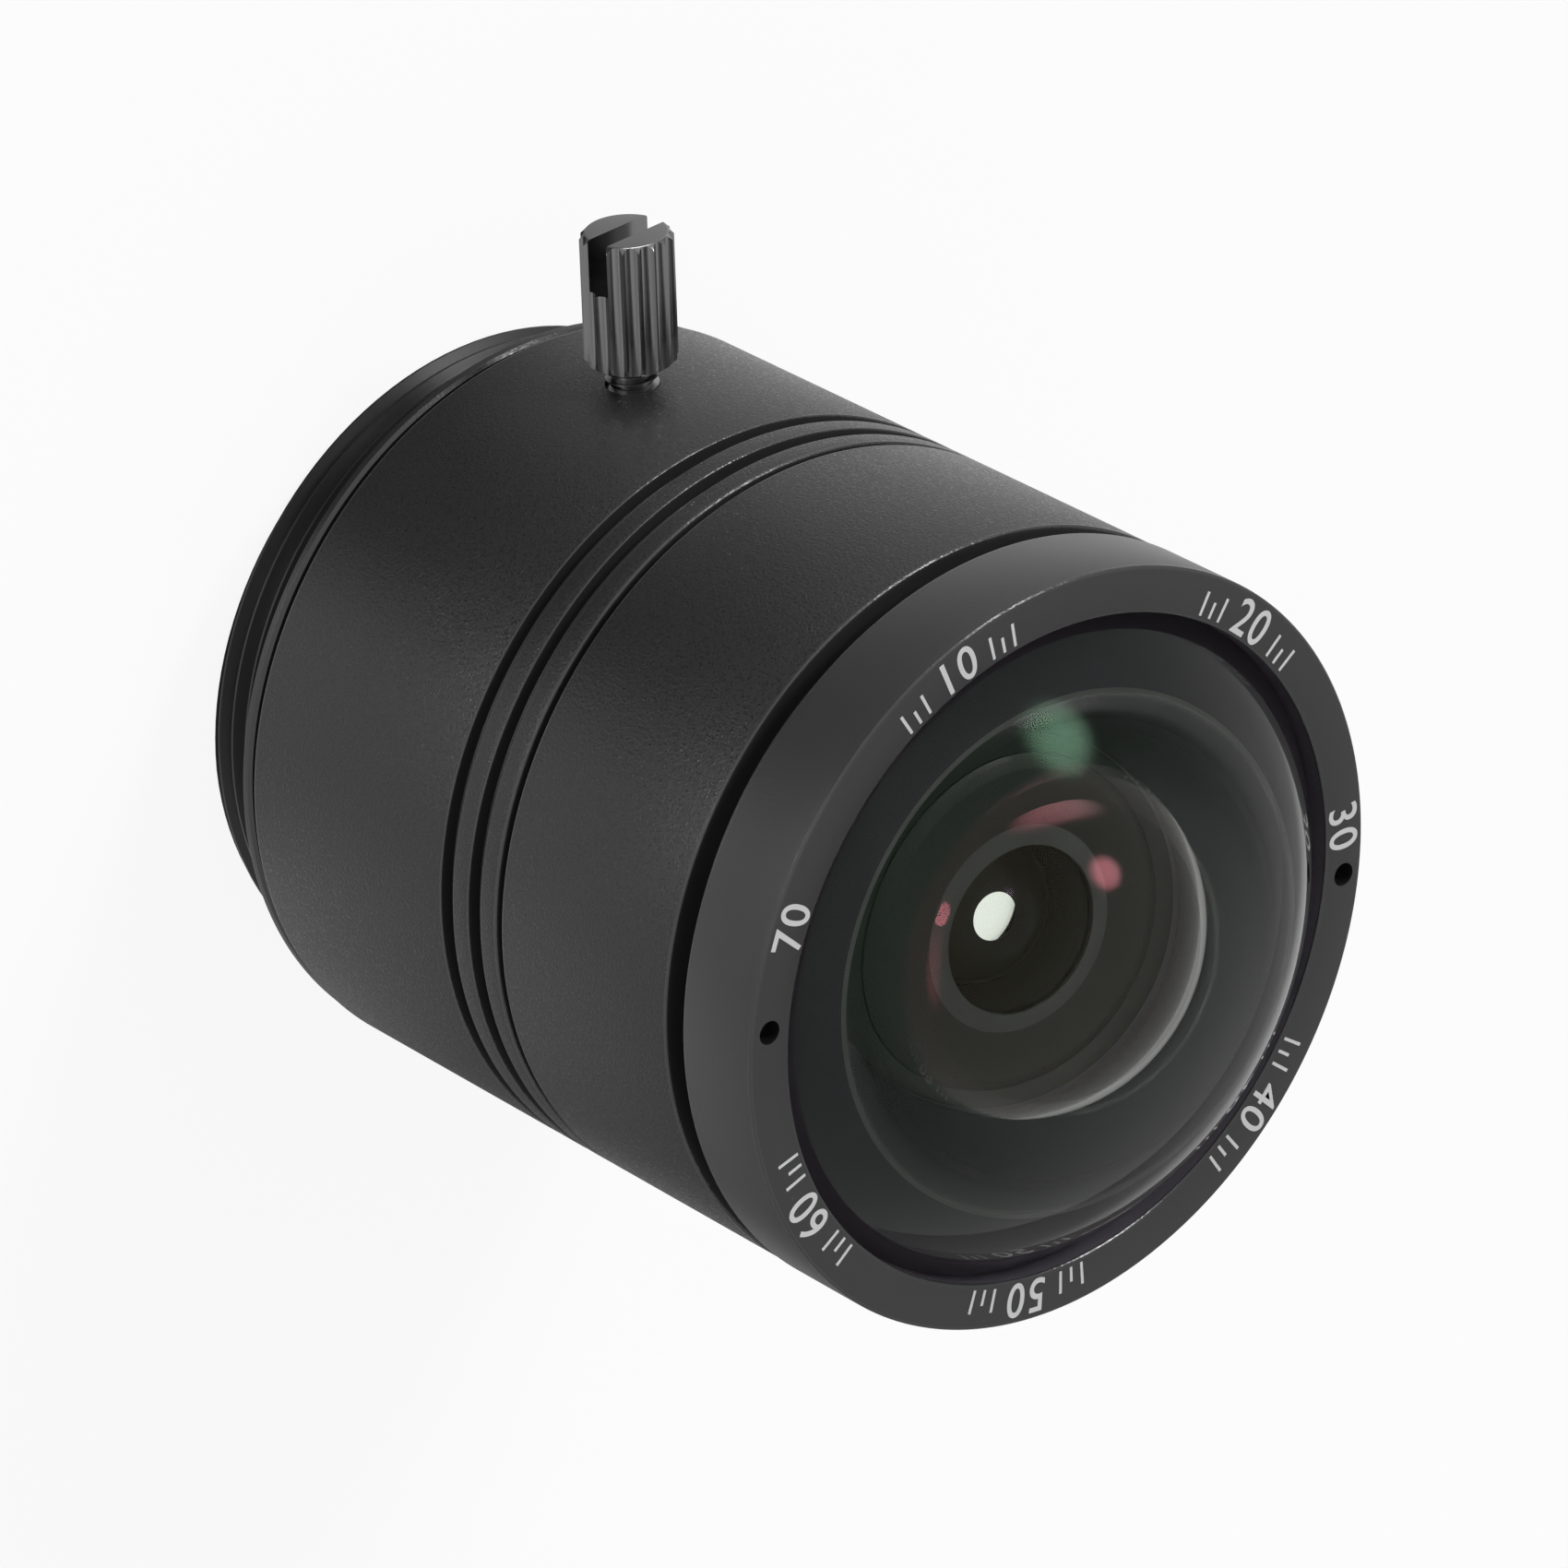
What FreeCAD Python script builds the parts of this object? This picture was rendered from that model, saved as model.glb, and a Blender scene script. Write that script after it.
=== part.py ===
"""Fixed wide-angle camera lens with a screw mount, a focusing front barrel and a thumb screw that locks it.

The lens stands on its rear thread with its optical axis along +Z. The origin is on that axis, in the flange plane
where the lens meets the camera. The thumb screw lies along +X. Lengths are millimetres.
"""
import FreeCAD
import Part
import Sketcher
import math
import os
from collections import namedtuple

doc = FreeCAD.newDocument("Lens")

# Driving dimensions
SIZES = (
    # Camera mount
    ("thread_radius", 12.7, "camera thread, outside"),
    ("thread_length", 3.8, "flange plane to the rear end of the thread"),
    ("thread_lead_in", 0.25, "chamfer at the rear end of the thread"),
    ("relief_width", 0.6, "undercut between thread and flange"),
    ("relief_depth", 0.8, "undercut between thread and flange"),
    ("mount_wall", 1.3, "mount ring inside the undercut"),
    ("flange_width", 1.35, "flange lip beyond the thread"),
    ("lip_height", 0.4, "flange lip, along the axis"),
    ("seam_height", 0.33, "seam between the flange lip and the housing"),
    ("seam_depth", 0.45, "seam, below the flange lip"),
    ("spigot_height", 1.6, "spigot that centres the ring in the housing"),
    # Housing
    ("barrel_step", 0.11, "barrel beyond the flange lip"),
    ("edge_cut", 0.12, "small chamfer on outer edges"),
    ("housing_length", 14.05, "housing, rear edge to front edge"),
    ("housing_wall", 1.76, "housing around the focusing sleeve"),
    ("front_land", 0.91, "housing's front edge to its first grip groove"),
    ("groove_width", 0.65, "grip groove"),
    ("groove_land", 0.9, "land between the grip grooves"),
    ("groove_depth", 0.55, "grip groove"),
    # Front barrel
    ("focus_seam", 0.28, "gap between housing and front barrel"),
    ("sleeve_play", 0.07, "radial play of the focusing sleeve"),
    ("sleeve_wall", 1.53, "focusing sleeve"),
    ("sleeve_end_gap", 0.95, "spigot to the sleeve's rear end"),
    ("sleeve_seat", 4.0, "sleeve inside the front barrel"),
    ("seat_play", 0.02, "radial play of the sleeve in its seat"),
    ("barrel_length", 9.11, "outer wall of the front barrel"),
    ("neck_step", 0.96, "barrel wall down to its threaded neck"),
    ("neck_groove", 0.95, "wide groove between barrel and front ring"),
    ("skirt_height", 1.38, "front ring's skirt around the neck"),
    # Front element
    ("seat_inset", 0.5, "neck's outside to the front element"),
    ("dome_play", 0.05, "front element in the front ring"),
    ("dome_wall", 1.03, "edge thickness of the front element"),
    ("dome_rise", 6.77, "height of the dome above its edge"),
    ("rear_flat", 4.9, "flat around the hollow rear face"),
    ("bowl_depth", 5.67, "depth of the hollow rear face"),
    # Front ring
    ("ring_step", 0.05, "front ring beyond the barrel"),
    ("ring_overlap", 0.24, "lip over the edge of the dome"),
    ("ring_lip", 0.85, "lip, along the axis"),
    ("lip_play", 0.03, "lip to the dome"),
    ("spanner_inset", 0.83, "ring's outside to the spanner holes' centres"),
    ("spanner_hole", 0.44, "spanner hole, radius"),
    ("spanner_depth", 0.7, "spanner hole, depth"),
    ("ring_turn", 82.6, "angle of the first spanner hole from +X, degrees"),
    # Lens cell
    ("cell_play", 0.06, "radial play of the cell in the front barrel"),
    ("cell_end_gap", 0.3, "cell face to the front element"),
    ("cell_wall", 4.32, "cell outside the front elements"),
    ("mouth_height", 0.71, "cone at the front of the cell"),
    ("mouth_step", 1.13, "cone at the front of the cell, across"),
    ("nose_wall", 2.28, "narrow rear end of the cell"),
    ("nose_length", 4.5, "narrow rear end of the cell"),
    ("shoulder_ledge", 0.82, "inner shoulder between the element groups, across"),
    ("shoulder_height", 1.3, "inner shoulder between the element groups"),
    ("glass_play", 0.02, "elements and spacers in the cell"),
    ("front_thread_step", 0.75, "front retaining thread beyond the element bore"),
    ("rear_thread_step", 0.5, "rear retaining thread beyond the element bore"),
    # Front retaining ring
    ("window_inset", 2.8, "element 2's outside to the clear opening"),
    ("land_width", 0.8, "flat land around the clear opening"),
    ("land_height", 0.2, "thickness of that land"),
    ("cup_inset", 0.57, "ring's thread to the outer edge of its cone"),
    ("front_ring_height", 0.9, "retaining ring, along the axis"),
    ("thread_play", 0.03, "retaining rings in their threads"),
    # Front group
    ("second_rise", 0.95, "element 2, bulge of the front face"),
    ("second_middle", 1.1, "element 2, middle thickness"),
    ("second_depth", 2.43, "element 2, depth of the hollow"),
    ("second_flat", 2.0, "element 2, flat around the hollow"),
    ("stop_opening", 1.35, "aperture stop, radius"),
    ("stop_thickness", 0.2, "aperture stop"),
    ("front_spacer", 1.07, "spacer between stop and element 3"),
    ("third_depth", 0.88, "element 3, depth of the front hollow"),
    ("third_flat", 1.5, "element 3, flat around the front hollow"),
    ("third_middle", 1.1, "element 3, middle thickness"),
    ("front_cement_rise", 1.85, "cemented face between elements 3 and 4"),
    ("fourth_rise", 1.34, "element 4, bulge of the rear face"),
    ("fourth_middle", 4.0, "element 4, middle thickness"),
    # Rear group
    ("group_step", 0.6, "front elements beyond the rear ones, across"),
    ("spacer_wall", 1.0, "rear spacers, across"),
    ("shoulder_spacer", 1.7, "spacer between the shoulder and element 5"),
    ("fifth_rise", 1.5, "element 5, bulge of both faces"),
    ("fifth_middle", 3.8, "element 5, middle thickness"),
    ("rear_spacer", 1.2, "spacer between elements 5 and 6"),
    ("sixth_depth", 1.0, "element 6, depth of the front hollow"),
    ("sixth_middle", 0.8, "element 6, middle thickness"),
    ("rear_cement_rise", 2.12, "cemented face between elements 6 and 7"),
    ("seventh_rise", 1.26, "element 7, bulge of the rear face"),
    ("seventh_middle", 4.2, "element 7, middle thickness"),
    ("rear_ring_height", 1.65, "rear retaining ring"),
    ("rear_ring_recess", 0.1, "rear retaining ring inside the cell's end"),
    ("ring_slot_width", 1.0, "spanner slot in the rear retaining ring"),
    ("ring_slot_depth", 0.5, "spanner slot in the rear retaining ring"),
    # Thumb screw
    ("screw_height", 5.8, "flange plane to the thumb screw's axis"),
    ("screw_hole", 1.0, "hole in the housing, radius"),
    ("screw_play", 0.04, "screw and pad in their hole"),
    ("screw_turn", 6.0, "angle of the slot from the lens's cross direction, degrees"),
    ("pad_length", 0.8, "soft pad between screw and sleeve"),
    ("tip_gap", 0.02, "pad to screw tip"),
    ("head_gap", 0.69, "housing to the underside of the head"),
    ("head_taper", 0.35, "taper under the head"),
    ("foot_step", 0.24, "small end of that taper beyond the shank"),
    ("head_length", 4.9, "full head above its taper"),
    ("head_radius", 1.7, "thumb screw head"),
    ("head_cut", 0.22, "chamfer around the head's top"),
    ("flute_radius", 0.32, "grip flute"),
    ("flute_depth", 0.2, "grip flute"),
    ("slot_width", 0.9, "screwdriver slot"),
    ("slot_depth", 2.0, "screwdriver slot"),
)
FLUTES = 18


class Size:
    """A length and the expression over the sheet that it comes from."""

    def __init__(self, value, text):
        self.value = value
        self.text = text

    def __add__(self, other):
        return Size(self.value + other.value, f"({self.text} + {other.text})")

    def __sub__(self, other):
        return Size(self.value - other.value, f"({self.text} - {other.text})")


class Sheet:
    """The driving dimensions, read by name as sizes that stay bound to their cells."""

    def __init__(self, document, rows):
        cells = document.addObject("Spreadsheet::Sheet", "Sizes")
        self.values = {}
        for line, (name, value, note) in enumerate(rows, start=1):
            cells.set(f"A{line}", name)
            cells.set(f"B{line}", str(value))
            cells.set(f"C{line}", note)
            cells.setAlias(f"B{line}", name)
            self.values[name] = value
        document.recompute()

    def __getattr__(self, name):
        return Size(self.values[name], f"Sizes.{name}")


size = Sheet(doc, SIZES)
ZERO = Size(0.0, "0")

# A corner of a turned outline. A bend is the curve of the edge that starts there, about a centre on the axis.
Corner = namedtuple("Corner", "radius height bend dome", defaults=(None, True))


def curve_of(reach, rise):
    """The radius of a spherical face that rises this much over this reach from the axis."""
    value = (reach.value**2 + rise.value**2) / (2 * rise.value)
    return Size(value, f"(({reach.text}^2 + {rise.text}^2) / (2 * {rise.text}))")


def sag(curve, reach):
    """How far a spherical face with this curve falls from its vertex at this radius."""
    value = curve.value - math.sqrt(curve.value**2 - reach.value**2)
    return Size(value, f"({curve.text} - sqrt({curve.text}^2 - {reach.text}^2))")


def bent_edge(corner, following):
    """The arc from a corner to the next one, with the numbers of its ends at the two corners."""
    starts_on_axis = corner.radius is ZERO
    vertex, outer = (corner, following) if starts_on_axis else (following, corner)
    curve = corner.bend.value
    middle = vertex.height.value + (-curve if corner.dome else curve)
    circle = Part.Circle(FreeCAD.Vector(0, middle, 0), FreeCAD.Vector(0, 0, 1), curve)
    outer_angle = math.atan2(outer.height.value - middle, outer.radius.value)
    if corner.dome:
        arc = Part.ArcOfCircle(circle, outer_angle, math.pi / 2)
        return arc, (2, 1) if starts_on_axis else (1, 2)
    arc = Part.ArcOfCircle(circle, -math.pi / 2, outer_angle)
    return arc, (1, 2) if starts_on_axis else (2, 1)


def draw_outline(sketch, corners):
    """Draws a closed outline whose corners and curves are bound to the sheet."""
    following = corners[1:] + corners[:1]
    edges = []
    for corner, after in zip(corners, following):
        if corner.bend is None:
            start = FreeCAD.Vector(corner.radius.value, corner.height.value, 0)
            end = FreeCAD.Vector(after.radius.value, after.height.value, 0)
            edges.append((Part.LineSegment(start, end), (1, 2)))
        else:
            edges.append(bent_edge(corner, after))
    sketch.addGeometry([shape for shape, _ in edges])
    bound = []
    for number, corner in enumerate(corners):
        first, last = edges[number][1]
        neighbour = (number + 1) % len(corners)
        sketch.addConstraint(Sketcher.Constraint("Coincident", number, last, neighbour, edges[neighbour][1][0]))
        if corner.radius is ZERO:
            sketch.addConstraint(Sketcher.Constraint("PointOnObject", number, first, -2))
        else:
            across = Sketcher.Constraint("DistanceX", -1, 1, number, first, corner.radius.value)
            bound.append((sketch.addConstraint(across), corner.radius))
        if corner.height is ZERO:
            sketch.addConstraint(Sketcher.Constraint("PointOnObject", number, first, -1))
        else:
            along = Sketcher.Constraint("DistanceY", -1, 1, number, first, corner.height.value)
            bound.append((sketch.addConstraint(along), corner.height))
        if corner.bend is not None:
            round_edge = Sketcher.Constraint("Radius", number, corner.bend.value)
            bound.append((sketch.addConstraint(round_edge), corner.bend))
    for constraint, length in bound:
        sketch.setExpression(f"Constraints[{constraint}]", length.text)


def sketch_on(body, plane, name, lift=None):
    """A sketch on one of the body's own planes, lifted off it along its normal."""
    sketch = body.newObject("Sketcher::SketchObject", name)
    sketch.AttachmentSupport = [(next(f for f in body.Origin.OriginFeatures if f.Role == plane), "")]
    sketch.MapMode = "FlatFace"
    if lift is not None:
        sketch.setExpression(".AttachmentOffset.Base.z", lift.text)
    return sketch


def turned(label, corners):
    """A piece turned about Z from an outline of radius and height corners."""
    body = doc.addObject("PartDesign::Body", label)
    sketch = sketch_on(body, "XZ_Plane", label + "_outline")
    draw_outline(sketch, corners)
    turn = body.newObject("PartDesign::Revolution", label + "_turned")
    turn.Profile = sketch
    turn.ReferenceAxis = (sketch, ["V_Axis"])
    turn.Angle = 360
    sketch.Visibility = False
    return body


def washer(label, inside, outside, rear, front):
    """A plain ring between two planes."""
    return turned(label, [Corner(inside, rear), Corner(outside, rear), Corner(outside, front), Corner(inside, front)])


def cut(body, sketch, name, depth, forward):
    """Cuts a sketch into a body, along the sketch's normal or against it."""
    pocket = body.newObject("PartDesign::Pocket", name)
    pocket.Profile = sketch
    pocket.setExpression("Length", depth.text)
    pocket.Reversed = forward
    sketch.Visibility = False
    return pocket


def draw_circle(sketch, across, up, radius):
    """Draws a circle with its centre and radius bound to the sheet."""
    centre = FreeCAD.Vector(across.value, up.value, 0)
    number = sketch.addGeometry(Part.Circle(centre, FreeCAD.Vector(0, 0, 1), radius.value))
    for kind, length, axis in (("DistanceX", across, -2), ("DistanceY", up, -1)):
        if length is ZERO:
            sketch.addConstraint(Sketcher.Constraint("PointOnObject", number, 3, axis))
        else:
            place = sketch.addConstraint(Sketcher.Constraint(kind, -1, 1, number, 3, length.value))
            sketch.setExpression(f"Constraints[{place}]", length.text)
    rim = sketch.addConstraint(Sketcher.Constraint("Radius", number, radius.value))
    sketch.setExpression(f"Constraints[{rim}]", radius.text)


def draw_slot(sketch, reach, width):
    """Draws a rectangle across the axis, reaching to both sides by reach, and width wide along X."""
    half = Size(width.value / 2, f"({width.text} / 2)")
    low = Size(-reach.value, f"(-{reach.text})")
    left = Size(-half.value, f"(-{half.text})")
    draw_outline(sketch, [Corner(left, low), Corner(half, low), Corner(half, reach), Corner(left, reach)])


# Radii, from the camera thread outwards and back in through the barrel to the glass
lip_radius = size.thread_radius + size.flange_width
seam_radius = lip_radius - size.seam_depth
relief_floor = size.thread_radius - size.relief_depth
mount_bore = relief_floor - size.mount_wall
barrel_radius = lip_radius + size.barrel_step
housing_bore = barrel_radius - size.housing_wall
sleeve_radius = housing_bore - size.sleeve_play
sleeve_seat = sleeve_radius + size.seat_play
barrel_bore = sleeve_radius - size.sleeve_wall
cell_radius = barrel_bore - size.cell_play
neck_radius = barrel_radius - size.neck_step
dome_edge = neck_radius - size.seat_inset
bowl_rim = dome_edge - size.rear_flat
ring_radius = barrel_radius + size.ring_step
ring_opening = dome_edge - size.ring_overlap
front_glass = cell_radius - size.cell_wall
rear_glass = front_glass - size.group_step
front_bore = front_glass + size.glass_play
rear_bore = rear_glass + size.glass_play
front_thread = front_bore + size.front_thread_step
rear_thread = rear_bore + size.rear_thread_step
shoulder_radius = rear_bore - size.shoulder_ledge
window_radius = front_glass - size.window_inset
second_rim = front_glass - size.second_flat
third_rim = front_glass - size.third_flat
spacer_hole = rear_glass - size.spacer_wall

# Curves of the glass
dome_curve = curve_of(dome_edge, size.dome_rise)
bowl_curve = curve_of(bowl_rim, size.bowl_depth)
second_front_curve = curve_of(front_glass, size.second_rise)
second_rear_curve = curve_of(second_rim, size.second_depth)
third_front_curve = curve_of(third_rim, size.third_depth)
front_cement_curve = curve_of(front_glass, size.front_cement_rise)
fourth_rear_curve = curve_of(front_glass, size.fourth_rise)
fifth_curve = curve_of(rear_glass, size.fifth_rise)
sixth_front_curve = curve_of(spacer_hole, size.sixth_depth)
rear_cement_curve = curve_of(rear_glass, size.rear_cement_rise)
seventh_rear_curve = curve_of(rear_glass, size.seventh_rise)

# Stations of the barrel, from the flange plane to the front
thread_end = ZERO - size.thread_length
lip_front = size.lip_height
housing_rear = lip_front + size.seam_height
housing_front = housing_rear + size.housing_length
spigot_top = housing_rear + size.spigot_height
sleeve_end = spigot_top + size.sleeve_end_gap
barrel_rear = housing_front + size.focus_seam
seat_front = barrel_rear + size.sleeve_seat
barrel_front = barrel_rear + size.barrel_length
ring_rear = barrel_front + size.neck_groove
dome_seat = ring_rear + size.skirt_height
dome_shoulder = dome_seat + size.dome_wall
dome_vertex = dome_shoulder + size.dome_rise
lip_rear = dome_vertex - sag(dome_curve, ring_opening) + size.lip_play
ring_face = lip_rear + size.ring_lip

# Stations of the glass, from the front of the cell to its rear
cell_front = dome_seat - size.cell_end_gap
cone_rear = cell_front - size.mouth_height
window_rear = cone_rear - size.front_ring_height
second_front = window_rear + sag(second_front_curve, window_radius)
second_rear = second_front - size.second_middle
stop_front = second_rear - size.second_depth
stop_rear = stop_front - size.stop_thickness
spacer_one_rear = stop_rear - size.front_spacer
third_front = spacer_one_rear - size.third_depth
fourth_front = third_front - size.third_middle
fourth_rear = fourth_front - size.fourth_middle
shoulder_front = fourth_rear + sag(fourth_rear_curve, shoulder_radius)
shoulder_rear = shoulder_front - size.shoulder_height
spacer_two_rear = shoulder_rear - size.shoulder_spacer
fifth_front = spacer_two_rear + sag(fifth_curve, spacer_hole)
fifth_rear = fifth_front - size.fifth_middle
spacer_three_front = fifth_rear + sag(fifth_curve, spacer_hole)
spacer_three_rear = spacer_three_front - size.rear_spacer
sixth_front = spacer_three_rear - size.sixth_depth
sixth_rear = sixth_front - size.sixth_middle
seventh_rear = sixth_rear - size.seventh_middle
rear_ring_front = seventh_rear + sag(seventh_rear_curve, spacer_hole)
rear_ring_rear = rear_ring_front - size.rear_ring_height
cell_rear = rear_ring_rear - size.rear_ring_recess

# Stations of the thumb screw, from the lens's axis outwards
shank_radius = size.screw_hole - size.screw_play
pad_front = housing_bore + size.pad_length
screw_tip = pad_front + size.tip_gap
head_foot = barrel_radius + size.head_gap
head_start = head_foot + size.head_taper
head_top = head_start + size.head_length


def mount_ring():
    """Threaded mount ring with the flange lip that seats on the camera."""
    relief_rear = ZERO - size.relief_width
    return turned("mount_ring", [
        Corner(mount_bore, thread_end),
        Corner(size.thread_radius - size.thread_lead_in, thread_end),
        Corner(size.thread_radius, thread_end + size.thread_lead_in),
        Corner(size.thread_radius, relief_rear),
        Corner(relief_floor, relief_rear),
        Corner(relief_floor, ZERO),
        Corner(lip_radius, ZERO),
        Corner(lip_radius, lip_front),
        Corner(seam_radius, lip_front),
        Corner(seam_radius, housing_rear),
        Corner(housing_bore, housing_rear),
        Corner(housing_bore, spigot_top),
        Corner(mount_bore, spigot_top),
    ])


def mount_housing():
    """Rear half of the barrel, with two grip grooves and the tapped hole for the thumb screw."""
    outside = barrel_radius
    edge = size.edge_cut
    floor = outside - size.groove_depth
    corners = [Corner(housing_bore, housing_front), Corner(housing_bore, housing_rear)]
    corners += [Corner(outside - edge, housing_rear), Corner(outside, housing_rear + edge)]
    second_top = housing_front - size.front_land
    first_top = second_top - size.groove_width - size.groove_land
    for top in (first_top, second_top):
        bottom = top - size.groove_width
        corners += [Corner(outside, bottom), Corner(floor, bottom), Corner(floor, top), Corner(outside, top)]
    corners += [Corner(outside, housing_front - edge), Corner(outside - edge, housing_front)]
    body = turned("mount_housing", corners)
    hole = sketch_on(body, "YZ_Plane", "screw_hole_outline")
    draw_circle(hole, ZERO, size.screw_height, size.screw_hole)
    cut(body, hole, "screw_hole", barrel_radius + size.edge_cut, forward=True)
    return body


def focus_sleeve():
    """Tube that runs in the housing as the lens is focused, seated in the front barrel."""
    return washer("focus_sleeve", barrel_bore, sleeve_radius, sleeve_end, seat_front)


def front_barrel():
    """Front half of the barrel: the gripped wall over the sleeve and the neck for the front ring."""
    outside = barrel_radius
    edge = size.edge_cut
    return turned("front_barrel", [
        Corner(sleeve_seat, barrel_rear),
        Corner(outside - edge, barrel_rear),
        Corner(outside, barrel_rear + edge),
        Corner(outside, barrel_front - edge),
        Corner(outside - edge, barrel_front),
        Corner(neck_radius, barrel_front),
        Corner(neck_radius, dome_seat),
        Corner(barrel_bore, dome_seat),
        Corner(barrel_bore, seat_front),
        Corner(sleeve_seat, seat_front),
    ])


def front_ring():
    """Screwed front ring that holds the front element, with two spanner holes in its face."""
    outside = ring_radius
    edge = size.edge_cut
    pocket_wall = dome_edge + size.dome_play
    body = turned("front_ring", [
        Corner(neck_radius, ring_rear),
        Corner(outside - edge, ring_rear),
        Corner(outside, ring_rear + edge),
        Corner(outside, ring_face - edge),
        Corner(outside - edge, ring_face),
        Corner(ring_opening, ring_face),
        Corner(ring_opening, lip_rear),
        Corner(pocket_wall, lip_rear),
        Corner(pocket_wall, dome_seat),
        Corner(neck_radius, dome_seat),
    ])
    holes = sketch_on(body, "XY_Plane", "spanner_outline", lift=ring_face)
    reach = ring_radius - size.spanner_inset
    for place in (reach, ZERO - reach):
        draw_circle(holes, place, ZERO, size.spanner_hole)
    cut(body, holes, "spanner_holes", size.spanner_depth, forward=False)
    turn = FreeCAD.Rotation(FreeCAD.Vector(0, 0, 1), size.ring_turn.value)
    body.Placement = FreeCAD.Placement(FreeCAD.Vector(), turn)
    return body


def element(label, outside, rear, front):
    """A glass element. Each face is its corners from the axis outwards, or from the edge inwards for the front."""
    rear_edge = rear[-1].height
    corners = list(rear) + [Corner(outside, rear_edge)] if rear[-1].radius is not outside else list(rear)
    return turned(label, corners + list(front))


def bulging_rear(vertex, curve, outside):
    """Corners of a rear face that bulges to the rear."""
    return [Corner(ZERO, vertex, curve, False), Corner(outside, vertex + sag(curve, outside))]


def hollow_rear(vertex, curve, rim):
    """Corners of a hollow rear face, out to its rim."""
    return [Corner(ZERO, vertex, curve), Corner(rim, vertex - sag(curve, rim))]


def bulging_front(vertex, curve, outside):
    """Corners of a front face that bulges to the front."""
    return [Corner(outside, vertex - sag(curve, outside), curve), Corner(ZERO, vertex)]


def hollow_front(vertex, curve, rim, outside):
    """Corners of a hollow front face with a flat around its rim."""
    flat = vertex + sag(curve, rim)
    corners = [Corner(rim, flat, curve, False), Corner(ZERO, vertex)]
    return corners if rim is outside else [Corner(outside, flat)] + corners


def front_element():
    """Large dome of glass with a deep hollow behind it."""
    outside = dome_edge
    rear = hollow_rear(dome_seat + size.bowl_depth, bowl_curve, bowl_rim)
    front = bulging_front(dome_vertex, dome_curve, outside)
    return element("front_element", outside, rear, front)


def lens_cell():
    """Stepped tube that holds the elements, with a shoulder between the front and rear groups."""
    outside = cell_radius
    nose_radius = rear_thread + size.nose_wall
    nose_front = cell_rear + size.nose_length
    return turned("lens_cell", [
        Corner(rear_thread, cell_rear),
        Corner(nose_radius, cell_rear),
        Corner(nose_radius, nose_front),
        Corner(outside, nose_front),
        Corner(outside, cell_front),
        Corner(front_thread + size.mouth_step, cell_front),
        Corner(front_thread, cone_rear),
        Corner(front_thread, window_rear),
        Corner(front_bore, window_rear),
        Corner(front_bore, shoulder_front),
        Corner(shoulder_radius, shoulder_front),
        Corner(shoulder_radius, shoulder_rear),
        Corner(rear_bore, shoulder_rear),
        Corner(rear_bore, rear_ring_front),
        Corner(rear_thread, rear_ring_front),
    ])


def element_2():
    """Second negative element, hollow to the rear."""
    outside = front_glass
    rear = hollow_rear(second_rear, second_rear_curve, second_rim)
    front = bulging_front(second_front, second_front_curve, outside)
    return element("element_2", outside, rear, front)


def element_3():
    """Front half of the first cemented pair, hollow on both faces."""
    outside = front_glass
    rear = hollow_rear(fourth_front, front_cement_curve, outside)
    front = hollow_front(third_front, third_front_curve, third_rim, outside)
    return element("element_3", outside, rear, front)


def element_4():
    """Rear half of the first cemented pair, bulging on both faces."""
    outside = front_glass
    rear = bulging_rear(fourth_rear, fourth_rear_curve, outside)
    front = bulging_front(fourth_front, front_cement_curve, outside)
    return element("element_4", outside, rear, front)


def element_5():
    """Bulging element, the first behind the shoulder."""
    outside = rear_glass
    rear = bulging_rear(fifth_rear, fifth_curve, outside)
    front = bulging_front(fifth_front, fifth_curve, outside)
    return element("element_5", outside, rear, front)


def element_6():
    """Front half of the second cemented pair, hollow on both faces."""
    outside = rear_glass
    rear = hollow_rear(sixth_rear, rear_cement_curve, outside)
    front = hollow_front(sixth_front, sixth_front_curve, spacer_hole, outside)
    return element("element_6", outside, rear, front)


def element_7():
    """Rear half of the second cemented pair, the last glass before the camera."""
    outside = rear_glass
    rear = bulging_rear(seventh_rear, seventh_rear_curve, outside)
    front = bulging_front(sixth_rear, rear_cement_curve, outside)
    return element("element_7", outside, rear, front)


def spacer_1():
    """Spacer between the stop and element 3, opened as a cone towards the wider rim."""
    return turned("spacer_1", [
        Corner(third_rim, spacer_one_rear),
        Corner(front_glass, spacer_one_rear),
        Corner(front_glass, stop_rear),
        Corner(second_rim, stop_rear),
    ])


def aperture_stop():
    """Thin fixed stop against the rear of element 2."""
    return washer("aperture_stop", size.stop_opening, front_glass, stop_rear, stop_front)


def spacer_2():
    """Spacer between the shoulder and element 5."""
    return washer("spacer_2", spacer_hole, rear_glass, spacer_two_rear, shoulder_rear)


def spacer_3():
    """Spacer between elements 5 and 6."""
    return washer("spacer_3", spacer_hole, rear_glass, spacer_three_rear, spacer_three_front)


def cell_front_ring():
    """Retaining ring over element 2: a shallow cone down to a flat land around the clear opening."""
    outside = front_thread - size.thread_play
    land_radius = window_radius + size.land_width
    land = window_rear + size.land_height
    return turned("cell_front_ring", [
        Corner(window_radius, window_rear),
        Corner(outside, window_rear),
        Corner(outside, cone_rear),
        Corner(front_thread - size.cup_inset, cone_rear),
        Corner(land_radius, land),
        Corner(window_radius, land),
    ])


def rear_retaining_ring():
    """Ring that holds the rear group in the cell, with two spanner slots."""
    outside = rear_thread - size.thread_play
    body = washer("rear_retaining_ring", spacer_hole, outside, rear_ring_rear, rear_ring_front)
    slots = sketch_on(body, "XY_Plane", "ring_slot_outline", lift=rear_ring_rear)
    draw_slot(slots, rear_thread, size.ring_slot_width)
    cut(body, slots, "ring_slots", size.ring_slot_depth, forward=True)
    return body


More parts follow.
